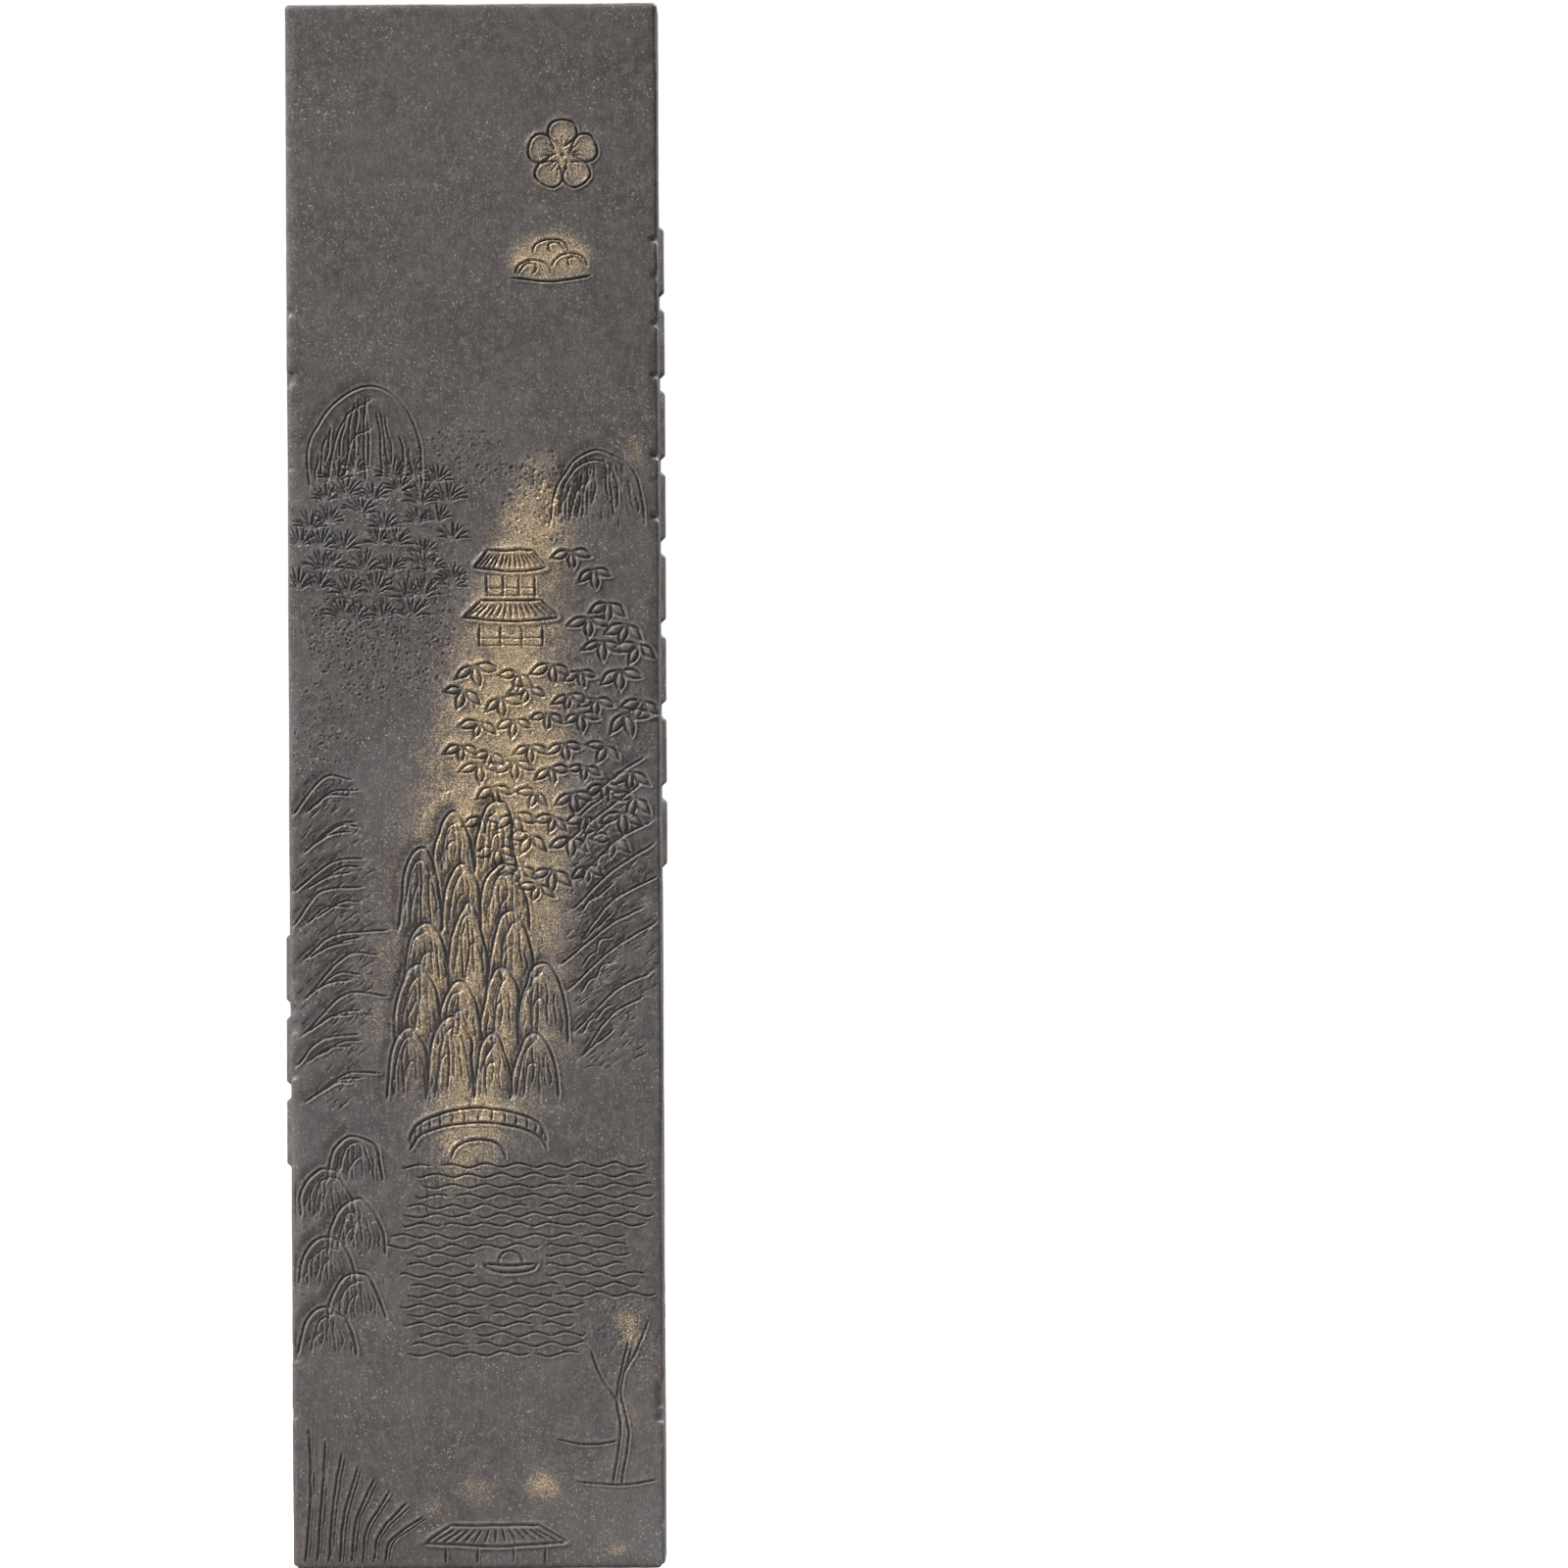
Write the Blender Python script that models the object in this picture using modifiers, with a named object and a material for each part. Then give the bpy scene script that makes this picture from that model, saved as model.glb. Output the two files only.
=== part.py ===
"""Ink stick: one pressed ink block with deposits of gold powder on both faces.

Metres, +Z up. The stick stands on its lower end with the origin at the middle of that end.
The landscape face looks along -Y and the orchid face along +Y. Places on a face are
(across, up) in millimetres from the face's lower left corner, as someone facing it sees it.
"""
import math

import bmesh
import bpy
from mathutils import Matrix, Vector

MM = 0.001

# Driving dimensions
WIDTH = 35.7 * MM
THICKNESS = 12.5 * MM
HEIGHT = 150.0 * MM

# Block edges
EDGE_ROUND = 0.45 * MM
FOOT_ROUND = 0.9 * MM

# Orchid face: a raised panel inside a lower border
PANEL_RISE = 0.25 * MM
PANEL_CORNER = 0.9 * MM
BORDER_LEFT = 1.4 * MM
BORDER_RIGHT = 1.8 * MM
BORDER_TOP = 1.3 * MM
BORDER_FOOT = 1.25 * MM

# Plain pads where the real stick has raised marks
PAD_RISE = 0.5 * MM
PAD_SINK = 0.6 * MM
PAD_DEPTH = 6.0 * MM
PAD_GAP = 1.1 * MM
PAD_EDGE = 0.18 * MM
RIGHT_PADS = 8
RIGHT_PADS_FOOT = 67.1 * MM
RIGHT_PADS_TOP = 128.8 * MM
LEFT_PADS = 3
LEFT_PADS_FOOT = 38.5 * MM
LEFT_PADS_TOP = 61.0 * MM
END_PAD_RISE = 0.2 * MM
END_PADS = ((8.4, 2.1), (24.4, 1.3))

# Carved lines
LINE_RADIUS = 0.27 * MM
FINE_RADIUS = 0.21 * MM
LINE_LIFT = 0.35
LIFT_SPREAD = 0.13
LIFT_STEP = 0.618
TIP_RADIUS = 0.5
LINE_STEPS = 2

# Gold powder deposits, each a film in a shallow recess
FILM = 0.25 * MM
GAP = 0.3 * MM
FILM_EDGE_POINTS = 24

INK = (0.035, 0.033, 0.034, 1.0)
GOLD = (0.42, 0.33, 0.20, 1.0)

# Landscape: rocks and peaks are (middle, foot, half width, height)
PEAKS = ((7.5, 104.0, 5.6, 9.5), (29.9, 100.3, 4.6, 7.0))
ROCK_ARCHES = 3
ARCH_STEPS = 4
PAVILION_MIDDLE = 21.4
PAVILION_FOOT = 88.4
PAVILION_HALF = 4.6
PAVILION_TIERS = 2
TIER_RISE = 4.8
ROOF_RISE = 2.0
EAVES_UP = 0.35
ROOF_RIBS = 6
CLIFF_MIDDLE = 17.4
CLIFF_FOOT = 45.0
CLIFF_ROWS = (4, 4, 3, 3, 2)
CRAG_RISE = 5.4
CRAG_PITCH = 4.0
SLOPES = 6
BRIDGE_MIDDLE = 18.0
BRIDGE_FOOT = 40.2
BRIDGE_HALF = 6.6
BRIDGE_RISE = 3.0
BRIDGE_POSTS = 7
SHORE_ROCKS = 5
BOAT = (21.0, 29.3)
RIPPLE_ROWS = 7
RIPPLE_FOOT = 21.0
RIPPLE_PITCH = 2.8
RIPPLE_START = 11.0
RIPPLE_END = 34.0
RIPPLE_LENGTH = 3.1
RIPPLE_HEIGHT = 0.2
GATE_MIDDLE = 19.4
GATE_HALF = 6.8
GATE_FOOT = 2.2
SPRAY_ROWS = 4
SPRAY_PITCH = 3.3
SPRAY_COLUMNS = 4
SPRAY_SIZE = 2.0
GRASS_BLADES = 5

# Orchid: leaves are (direction in degrees, length) from the root
ORCHID_ROOT = (16.6, 60.0)
ORCHID_LEAVES = ((106, 46.0), (86, 54.0), (68, 38.0), (128, 28.0), (148, 18.0), (46, 26.0), (24, 16.0))
LEAF_SAG = 0.22
LEAF_HALF = 0.75
FLOWERS = ((8.4, 86.0), (27.0, 92.0), (26.0, 72.0))
FLOWER_RADIUS = 3.2
PETALS = 5
BACK_ROCKS = ((28.4, 34.0, 4.4, 13.0), (30.2, 46.5, 3.2, 9.0), (7.4, 22.0, 4.2, 6.0), (15.4, 22.0, 5.0, 9.0),
              (23.0, 22.0, 3.8, 5.6))
SMALL_LEAVES = ((15.5, 14.6), (22.6, 17.0))
SMALL_LEAF = 1.9

# Gold deposits: the middle of each, and its half width and half height
FRONT_GOLD = {
    "gilt_title_cloud": ((25.4, 125.7), (4.2, 2.5)),
    "gilt_peak": ((33.4, 107.2), (1.1, 1.1)),
    "gilt_grove": ((24.3, 102.8), (2.8, 3.6)),
    "gilt_pavilion": ((21.4, 94.2), (3.8, 3.6)),
    "gilt_bamboo_path": ((20.1, 82.8), (4.3, 6.2)),
    "gilt_cliff_crest": ((17.6, 69.4), (4.7, 4.7)),
    "gilt_cliff_spur": ((11.4, 57.1), (1.6, 6.0)),
    "gilt_cliff_face": ((19.0, 57.1), (4.5, 5.9)),
    "gilt_bridge_head": ((17.5, 46.0), (4.7, 3.6)),
    "gilt_tree": ((32.4, 23.0), (1.5, 2.3)),
    "gilt_tree_root": ((32.1, 14.6), (1.0, 1.7)),
    "gilt_gate_left": ((13.3, 5.9), (0.8, 0.7)),
    "gilt_gate_middle": ((17.6, 7.6), (1.9, 1.2)),
    "gilt_gate_right": ((23.9, 7.9), (1.7, 1.6)),
    "gilt_shore": ((30.6, 1.9), (2.1, 0.8)),
}
BACK_GOLD = {
    "gilt_leaf_left": ((15.5, 13.8), (1.2, 1.2)),
    "gilt_leaf_right": ((22.6, 16.0), (2.1, 1.3)),
}
OVAL_POINTS = 8
BLOSSOM_CENTRE = (26.6, 135.2)
BLOSSOM_RADIUS = 3.7
BLOSSOM_NOTCH = 0.24
BLOSSOM_PETALS = 5


def clear_scene():
    for item in list(bpy.context.scene.objects):
        bpy.data.objects.remove(item, do_unlink=True)


def new_collection(name):
    collection = bpy.data.collections.new(name)
    bpy.context.scene.collection.children.link(collection)
    return collection


def make_material(name, colour, roughness, metallic):
    material = bpy.data.materials.new(name)
    material.use_nodes = True
    shader = material.node_tree.nodes["Principled BSDF"]
    shader.inputs["Base Color"].default_value = colour
    shader.inputs["Roughness"].default_value = roughness
    shader.inputs["Metallic"].default_value = metallic
    material.diffuse_color = colour
    return material


def add_object(name, mesh, collection, matrix=None):
    item = bpy.data.objects.new(name, mesh)
    if matrix is not None:
        item.matrix_world = matrix
    collection.objects.link(item)
    return item


def mark_as_cutter(item):
    item.display_type = "WIRE"
    item.hide_render = True


def boolean(item, operation, other):
    """Cut with, or join to, an object or all the objects of a collection."""
    modifier = item.modifiers.new(operation.title() + " " + other.name, "BOOLEAN")
    modifier.operation = operation
    modifier.solver = "EXACT"
    if isinstance(other, bpy.types.Collection):
        modifier.operand_type = "COLLECTION"
        modifier.collection = other
    else:
        modifier.object = other


def landscape_face(lift=0.0):
    """From (across, up, out) of the landscape face to the world."""
    return Matrix.Translation((-WIDTH / 2, -THICKNESS / 2 - lift, 0)) @ Matrix.Rotation(math.pi / 2, 4, "X")


def orchid_face(lift=0.0):
    """From (across, up, out) of the orchid face to the world."""
    turned = Matrix.Rotation(math.pi, 4, "Z") @ Matrix.Rotation(math.pi / 2, 4, "X")
    return Matrix.Translation((WIDTH / 2, THICKNESS / 2 + lift, 0)) @ turned


# Shapes

def box_mesh(name, boxes, edge):
    """Boxes, each (centre, size), with their edges rounded."""
    shape = bmesh.new()
    for centre, size in boxes:
        place = Matrix.Translation(centre) @ Matrix.Diagonal((*size, 1.0))
        bmesh.ops.create_cube(shape, size=1.0, matrix=place)
    bmesh.ops.bevel(shape, geom=shape.edges[:], offset=edge, segments=2, profile=0.5, affect="EDGES")
    mesh = bpy.data.meshes.new(name)
    shape.to_mesh(mesh)
    shape.free()
    return mesh


def block_mesh():
    """The pressed block up to the border of the orchid face, with the foot's two long edges rounded."""
    depth = THICKNESS - PANEL_RISE
    centre = (0, -PANEL_RISE / 2, HEIGHT / 2)
    place = Matrix.Translation(centre) @ Matrix.Diagonal((WIDTH, depth, HEIGHT, 1.0))
    shape = bmesh.new()
    bmesh.ops.create_cube(shape, size=1.0, matrix=place)
    foot_corners = [
        edge for edge in shape.edges
        if all(vert.co.z < MM for vert in edge.verts)
        and abs(edge.verts[0].co.x - edge.verts[1].co.x) < MM
    ]
    bmesh.ops.bevel(shape, geom=foot_corners, offset=FOOT_ROUND, segments=4, profile=0.5, affect="EDGES")
    mesh = bpy.data.meshes.new("ink_body")
    shape.to_mesh(mesh)
    shape.free()
    return mesh


def panel_mesh():
    """The raised panel of the orchid face. Seen from behind, its left side is at +X."""
    left = WIDTH / 2 - BORDER_LEFT
    right = -WIDTH / 2 + BORDER_RIGHT
    top = HEIGHT - BORDER_TOP
    back = THICKNESS / 2
    inside = back - 4 * PANEL_RISE
    centre = ((left + right) / 2, (back + inside) / 2, (top + BORDER_FOOT) / 2)
    size = (left - right, back - inside, top - BORDER_FOOT)
    shape = bmesh.new()
    bmesh.ops.create_cube(shape, size=1.0, matrix=Matrix.Translation(centre) @ Matrix.Diagonal((*size, 1.0)))
    corners = [
        edge for edge in shape.edges
        if abs(edge.verts[0].co.y - edge.verts[1].co.y) > PANEL_RISE
    ]
    bmesh.ops.bevel(shape, geom=corners, offset=PANEL_CORNER, segments=3, profile=0.5, affect="EDGES")
    mesh = bpy.data.meshes.new("panel")
    shape.to_mesh(mesh)
    shape.free()
    return mesh


def pad_column(side, count, foot, top):
    """Pads up one narrow side of the stick: side is 1 for +X and -1 for -X."""
    pitch = (top - foot + PAD_GAP) / count
    reach = PAD_RISE + PAD_SINK
    x = side * (WIDTH / 2 + PAD_RISE - reach / 2)
    y = -PANEL_RISE / 2
    return [
        ((x, y, foot + pitch * (index + 0.5) - PAD_GAP / 2), (reach, PAD_DEPTH, pitch - PAD_GAP))
        for index in range(count)
    ]


def end_pads():
    """Low pads on the upper end."""
    reach = END_PAD_RISE + PAD_SINK
    z = HEIGHT + END_PAD_RISE - reach / 2
    return [
        ((across * MM - WIDTH / 2, -PANEL_RISE / 2, z), (wide * MM, PAD_DEPTH, reach))
        for across, wide in END_PADS
    ]


def mesh_from_curve(curve_object, collection):
    """Turn a curve into a closed mesh object in its place."""
    name = curve_object.name
    matrix = curve_object.matrix_world.copy()
    depsgraph = bpy.context.evaluated_depsgraph_get()
    mesh = bpy.data.meshes.new_from_object(curve_object.evaluated_get(depsgraph))
    shape = bmesh.new()
    shape.from_mesh(mesh)
    bmesh.ops.remove_doubles(shape, verts=shape.verts[:], dist=1e-7)
    shape.to_mesh(mesh)
    shape.free()
    bpy.data.objects.remove(curve_object, do_unlink=True)
    mesh.name = name
    return add_object(name, mesh, collection, matrix)


def line_cutter(name, points, radius, lift, place, collection):
    """A carved line: a curve of four sides that thins towards both ends."""
    curve = bpy.data.curves.new(name, "CURVE")
    curve.dimensions = "3D"
    curve.twist_mode = "Z_UP"
    curve.fill_mode = "FULL"
    curve.use_fill_caps = True
    curve.bevel_depth = radius
    curve.bevel_resolution = 0
    curve.resolution_u = LINE_STEPS if len(points) > 2 else 1
    spline = curve.splines.new("BEZIER")
    spline.bezier_points.add(len(points) - 1)
    for knot, (across, up) in zip(spline.bezier_points, points):
        knot.co = (across * MM, up * MM, 0)
        knot.handle_left_type = "AUTO"
        knot.handle_right_type = "AUTO"
    spline.bezier_points[0].radius = TIP_RADIUS
    spline.bezier_points[-1].radius = TIP_RADIUS
    item = add_object(name, curve, collection, place(radius * lift))
    bpy.context.view_layer.update()
    cutter = mesh_from_curve(item, collection)
    mark_as_cutter(cutter)


def arch(middle, foot, half_wide, high):
    """A line from foot to foot over the top of a rock, a hull or a bridge."""
    points = []
    for index in range(ARCH_STEPS + 1):
        turn = math.pi * index / ARCH_STEPS
        points.append((middle - half_wide * math.cos(turn), foot + high * math.sin(turn)))
    return points


def rock(middle, foot, half_wide, high):
    """A peak, crag or boulder: an arch and smaller ones inside it."""
    lines = []
    for index in range(ROCK_ARCHES):
        lines.append(arch(
            middle + 0.14 * half_wide * index, foot, half_wide * (1 - 0.3 * index), high * (1 - 0.24 * index),
        ))
    return lines


def between(start, end, part):
    return (start[0] + (end[0] - start[0]) * part, start[1] + (end[1] - start[1]) * part)


def roof(middle, foot, half_wide, rise):
    """A roof with upturned eaves: ridge, eaves, two hips and the ribs between them."""
    ridge = half_wide * 0.62
    top = foot + rise
    tip = foot + EAVES_UP
    lines = [
        ((middle - half_wide, tip), (middle, foot), (middle + half_wide, tip)),
        ((middle - ridge, top), (middle, top), (middle + ridge, top)),
    ]
    for side in (-1, 1):
        upper = (middle + side * (ridge + 0.2), top - 0.15)
        lower = (middle + side * (half_wide - 0.2), tip + 0.2)
        lines.append((upper, lower))
    for index in range(ROOF_RIBS):
        place = 2 * (index + 0.5) / ROOF_RIBS - 1
        lines.append(((middle + ridge * place, top - 0.5), (middle + half_wide * place * 0.94, foot + 0.6)))
    return lines


def pavilion_lines():
    """Tiers of roof on posts, each tier smaller than the one below it."""
    lines = []
    for tier in range(PAVILION_TIERS):
        half_wide = PAVILION_HALF * (1 - 0.24 * tier)
        foot = PAVILION_FOOT + TIER_RISE * tier
        eaves = foot + TIER_RISE - ROOF_RISE - 0.4
        lines += roof(PAVILION_MIDDLE, eaves, half_wide, ROOF_RISE)
        for place in (-0.66, -0.22, 0.22, 0.66):
            across = PAVILION_MIDDLE + half_wide * place
            lines.append(((across, eaves - 0.5), (across, foot)))
    return lines


def cliff_lines():
    """Crags in staggered rows that narrow towards the top."""
    lines = []
    for row, count in enumerate(CLIFF_ROWS):
        for index in range(count):
            middle = CLIFF_MIDDLE + CRAG_PITCH * (index - (count - 1) / 2) + 0.9 * math.sin(1.7 * row)
            half_wide = 2.1 + 0.25 * math.sin(2.3 * index + row)
            high = 7.0 + 1.1 * math.sin(1.9 * index + 2.7 * row)
            lines.append(arch(middle, CLIFF_FOOT + CRAG_RISE * row, half_wide, high))
    return lines


def slope_lines():
    """Long lines of the hillsides that run down from both edges."""
    lines = []
    for index in range(SLOPES):
        left = 50.0 + 4.2 * index
        right = 53.0 + 3.4 * index
        lines.append(((0.8, left), (3.6, left + 3.0), (6.8, left + 4.2 - 0.3 * index)))
        lines.append(((34.9, right + 5.0), (31.4, right + 3.4), (27.2, right)))
    return lines


def shore_lines():
    lines = []
    for index in range(SHORE_ROCKS):
        middle = 3.4 + 2.8 * (index % 2)
        lines += rock(middle, 20.6 + 3.4 * index, 2.7, 4.6)[:2]
    return lines


def bridge_lines():
    """An arched bridge: rail, deck, the opening under it, and posts between the rail and the deck."""
    lines = [
        arch(BRIDGE_MIDDLE, BRIDGE_FOOT + 1.0, BRIDGE_HALF, BRIDGE_RISE),
        arch(BRIDGE_MIDDLE, BRIDGE_FOOT, BRIDGE_HALF, BRIDGE_RISE - 0.4),
        arch(BRIDGE_MIDDLE, BRIDGE_FOOT - 0.8, BRIDGE_HALF * 0.4, BRIDGE_RISE * 0.6),
    ]
    for index in range(BRIDGE_POSTS):
        turn = math.pi * (index + 1) / (BRIDGE_POSTS + 1)
        across = BRIDGE_MIDDLE - BRIDGE_HALF * math.cos(turn)
        deck = BRIDGE_FOOT + (BRIDGE_RISE - 0.4) * math.sin(turn)
        lines.append(((across, deck + 0.1), (across, deck + 1.1)))
    return lines


def boat_lines():
    """A small boat: hull, deck and canopy."""
    across, up = BOAT
    return [
        arch(across, up, 2.6, -0.9),
        ((across - 2.6, up), (across, up - 0.15), (across + 2.6, up)),
        arch(across, up, 1.2, 1.2),
    ]


def ripple(start, end, up):
    """A wavy line of water from one place to another."""
    count = int((end - start) / (RIPPLE_LENGTH / 2)) + 1
    step = (end - start) / count
    return [
        (start + step * index, up + RIPPLE_HEIGHT * (1 if index % 2 else -1))
        for index in range(count + 1)
    ]


def ripple_lines():
    return [
        ripple(RIPPLE_START, RIPPLE_END, RIPPLE_FOOT + RIPPLE_PITCH * row)
        for row in range(RIPPLE_ROWS)
    ]


def leaf_spray(centre, size):
    """Three leaves from one point: one drooping to each side, one hanging between them."""
    across, up = centre
    droop = size * 0.62
    hang = size * 0.95
    lines = []
    for side in (-1, 1):
        bend = (across + side * size * 0.6, up - droop * 0.3)
        lines.append(((across + side * 0.3, up), bend, (across + side * size, up - droop)))
    lines.append(((across, up - size * 0.3), (across + size * 0.06, up - hang * 0.6), (across, up - hang)))
    return lines


def bamboo_lines():
    """Sprays in staggered rows across the face, under the pavilion."""
    lines = []
    for row in range(SPRAY_ROWS):
        for column in range(SPRAY_COLUMNS):
            across = 16.0 + 4.8 * column + 2.2 * (row % 2)
            if across < WIDTH / MM - 3:
                up = 76.9 + SPRAY_PITCH * row + 0.8 * math.sin(2.0 * column)
                lines += leaf_spray((across, up), SPRAY_SIZE)
    return lines


def grass_lines():
    """Long blades that lean away from the lower left corner."""
    lines = []
    for index in range(GRASS_BLADES):
        foot = 1.4 + 1.5 * index
        high = 12.5 - 1.7 * index
        lines.append(((foot, 0.8), (foot + 0.5, high * 0.55), (foot + 0.4 + 0.7 * index, high)))
    return lines


def tree_lines():
    """A trunk at the right, two boughs and the ground that it stands on."""
    return [
        ((30.6, 8.4), (31.4, 13.0), (31.0, 17.0), (32.2, 22.0)),
        ((31.2, 15.8), (29.6, 18.4), (28.6, 21.0)),
        ((31.6, 19.0), (33.2, 21.0), (34.2, 24.0)),
        ((27.4, 8.2), (31.0, 8.0), (34.8, 8.3)),
    ]


# Orchid face

def orchid_leaf(angle, length):
    """The two edges of a long leaf that bends under its weight and ends in a point."""
    across, up = ORCHID_ROOT
    turn = math.radians(angle)
    edges = []
    for side in (-1, 1):
        points = []
        for part in (0.04, 0.35, 0.7, 1.0):
            wide = side * LEAF_HALF * math.sin(math.pi * part ** 0.8)
            points.append((
                across + length * part * math.cos(turn) * (1 - 0.2 * part) - wide * math.sin(turn),
                up + length * part * math.sin(turn) - LEAF_SAG * length * part ** 2 + wide * math.cos(turn),
            ))
        edges.append(points)
    return edges


def flower(across, up):
    """Pointed petals round a middle."""
    side_reach = 0.6 * FLOWER_RADIUS
    lines = []
    for index in range(PETALS):
        turn = math.tau * index / PETALS + math.pi / 2
        for lean in (-0.45, 0.45):
            lines.append((
                (across + 0.7 * math.cos(turn), up + 0.7 * math.sin(turn)),
                (across + side_reach * math.cos(turn + lean), up + side_reach * math.sin(turn + lean)),
                (across + FLOWER_RADIUS * math.cos(turn), up + FLOWER_RADIUS * math.sin(turn)),
            ))
    return lines


def orchid_lines():
    lines = []
    for angle, length in ORCHID_LEAVES:
        lines += orchid_leaf(angle, length)
    return lines


def flower_lines():
    lines = []
    for place in FLOWERS:
        lines += flower(*place)
    for place in SMALL_LEAVES:
        lines += leaf_spray(place, SMALL_LEAF)
    return lines


def rock_lines(rocks):
    lines = []
    for place in rocks:
        lines += rock(*place)
    return lines


def carve_lines(collection, place, strokes, radius, label):
    """Carve lines at slightly different depths, so that no two cutters that cross share a face or an edge."""
    for index, points in enumerate(strokes):
        lift = LINE_LIFT + LIFT_SPREAD * (LIFT_STEP * len(collection.objects) % 1)
        line_cutter(f"{label}_{index + 1}", points, radius, lift, place, collection)


def carve_landscape(collection):
    for label, strokes, radius in (
        ("peak", rock_lines(PEAKS), LINE_RADIUS),
        ("pavilion", pavilion_lines(), FINE_RADIUS),
        ("cliff", cliff_lines(), LINE_RADIUS),
        ("slope", slope_lines(), LINE_RADIUS),
        ("shore", shore_lines(), LINE_RADIUS),
        ("bridge", bridge_lines(), FINE_RADIUS),
        ("boat", boat_lines(), FINE_RADIUS),
        ("ripple", ripple_lines(), FINE_RADIUS),
        ("bamboo", bamboo_lines(), FINE_RADIUS),
        ("gate", roof(GATE_MIDDLE, GATE_FOOT, GATE_HALF, ROOF_RISE), FINE_RADIUS),
        ("grass", grass_lines(), FINE_RADIUS),
        ("tree", tree_lines(), LINE_RADIUS),
    ):
        carve_lines(collection, landscape_face, strokes, radius, label)


def carve_orchid(collection):
    carve_lines(collection, orchid_face, orchid_lines(), LINE_RADIUS, "orchid")
    carve_lines(collection, orchid_face, flower_lines(), FINE_RADIUS, "flower")
    carve_lines(collection, orchid_face, rock_lines(BACK_ROCKS), LINE_RADIUS, "rock")


def oval(centre, half):
    """An oval outline, anticlockwise."""
    turns = [math.tau * (index + 0.5) / OVAL_POINTS for index in range(OVAL_POINTS)]
    return [(centre[0] + half[0] * math.cos(turn), centre[1] + half[1] * math.sin(turn)) for turn in turns]


def blossom_outline():
    """A five-lobed flower."""
    points = []
    for index in range(BLOSSOM_PETALS * 4):
        angle = math.tau * index / (BLOSSOM_PETALS * 4) + math.pi / 2
        lobe = abs(math.cos((angle - math.pi / 2) * BLOSSOM_PETALS / 2))
        radius = BLOSSOM_RADIUS * (1 - BLOSSOM_NOTCH * (1 - lobe))
        across = BLOSSOM_CENTRE[0] + radius * math.cos(angle)
        up = BLOSSOM_CENTRE[1] + radius * math.sin(angle)
        points.append((across, up))
    return points


def grown(points, distance):
    """The outline moved outwards by a distance, for points in order round it anticlockwise."""
    result = []
    count = len(points)
    for index, point in enumerate(points):
        before = Vector(points[index - 1])
        after = Vector(points[(index + 1) % count])
        along = (after - before).normalized()
        result.append(tuple(Vector(point) + Vector((along.y, -along.x)) * distance))
    return result


def plate(name, points, thickness, place, collection):
    """A flat piece with a smooth closed outline. Its middle is in the plane of the place."""
    curve = bpy.data.curves.new(name, "CURVE")
    curve.dimensions = "2D"
    curve.fill_mode = "BOTH"
    curve.extrude = thickness / 2
    curve.resolution_u = max(2, FILM_EDGE_POINTS // len(points))
    spline = curve.splines.new("BEZIER")
    spline.bezier_points.add(len(points) - 1)
    spline.use_cyclic_u = True
    for knot, (across, up) in zip(spline.bezier_points, points):
        knot.co = (across * MM, up * MM, 0)
        knot.handle_left_type = "AUTO"
        knot.handle_right_type = "AUTO"
    item = add_object(name, curve, collection, place)
    bpy.context.view_layer.update()
    return mesh_from_curve(item, collection)


def gold_film(name, points, face, parts, recesses, material):
    """One deposit of gold powder, flush with the face, and the recess that it lies in."""
    film = plate(name, points, FILM, face(-FILM / 2), parts)
    film.data.materials.clear()
    film.data.materials.append(material)
    depth = FILM + GAP
    recess = plate(name + "_recess", grown(points, GAP / MM), 2 * depth, face(0), recesses)
    mark_as_cutter(recess)
    return film


def spread(item):
    """The lowest and highest corner of an object in the world."""
    corners = [item.matrix_world @ Vector(corner) for corner in item.bound_box]
    lowest = Vector([min(corner[axis] for corner in corners) for axis in range(3)])
    highest = Vector([max(corner[axis] for corner in corners) for axis in range(3)])
    return lowest, highest


def reach_each_other(item, other):
    lowest, highest = spread(item)
    other_lowest, other_highest = spread(other)
    return all(lowest[axis] < other_highest[axis] and other_lowest[axis] < highest[axis] for axis in range(3))


def carve_films(films, lines):
    """Cut into each film the carved lines that cross it."""
    for film in films:
        crossing = [line for line in lines.objects if reach_each_other(film, line)]
        if not crossing:
            continue
        group = bpy.data.collections.new("lines_on_" + film.name)
        lines.children.link(group)
        for line in crossing:
            group.objects.link(line)
        boolean(film, "DIFFERENCE", group)


def gold_films(front_lines, back_lines, parts, recesses, material):
    front_outlines = {"gilt_title_blossom": blossom_outline()}
    for name, place in FRONT_GOLD.items():
        front_outlines[name] = oval(*place)
    front_films = [
        gold_film(name, points, landscape_face, parts, recesses, material)
        for name, points in front_outlines.items()
    ]
    back_films = [
        gold_film(name, oval(*place), orchid_face, parts, recesses, material)
        for name, place in BACK_GOLD.items()
    ]
    bpy.context.view_layer.update()
    carve_films(front_films, front_lines)
    carve_films(back_films, back_lines)


def ink_body(parts, cutters, line_collections, recesses, material):
    body = add_object("ink_body", block_mesh(), parts)
    body.data.materials.append(material)
    edges = body.modifiers.new("Edges", "BEVEL")
    edges.width = EDGE_ROUND
    edges.segments = 2
    edges.limit_method = "ANGLE"
    edges.angle_limit = math.radians(40)
    panel = add_object("panel", panel_mesh(), cutters)
    mark_as_cutter(panel)
    boolean(body, "UNION", panel)
    boxes = pad_column(1, RIGHT_PADS, RIGHT_PADS_FOOT, RIGHT_PADS_TOP)
    boxes += pad_column(-1, LEFT_PADS, LEFT_PADS_FOOT, LEFT_PADS_TOP)
    boxes += end_pads()
    pads = add_object("pads", box_mesh("pads", boxes, PAD_EDGE), cutters)
    mark_as_cutter(pads)
    boolean(body, "UNION", pads)
    for lines in line_collections:
        boolean(body, "DIFFERENCE", lines)
    boolean(body, "DIFFERENCE", recesses)
    return body


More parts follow.
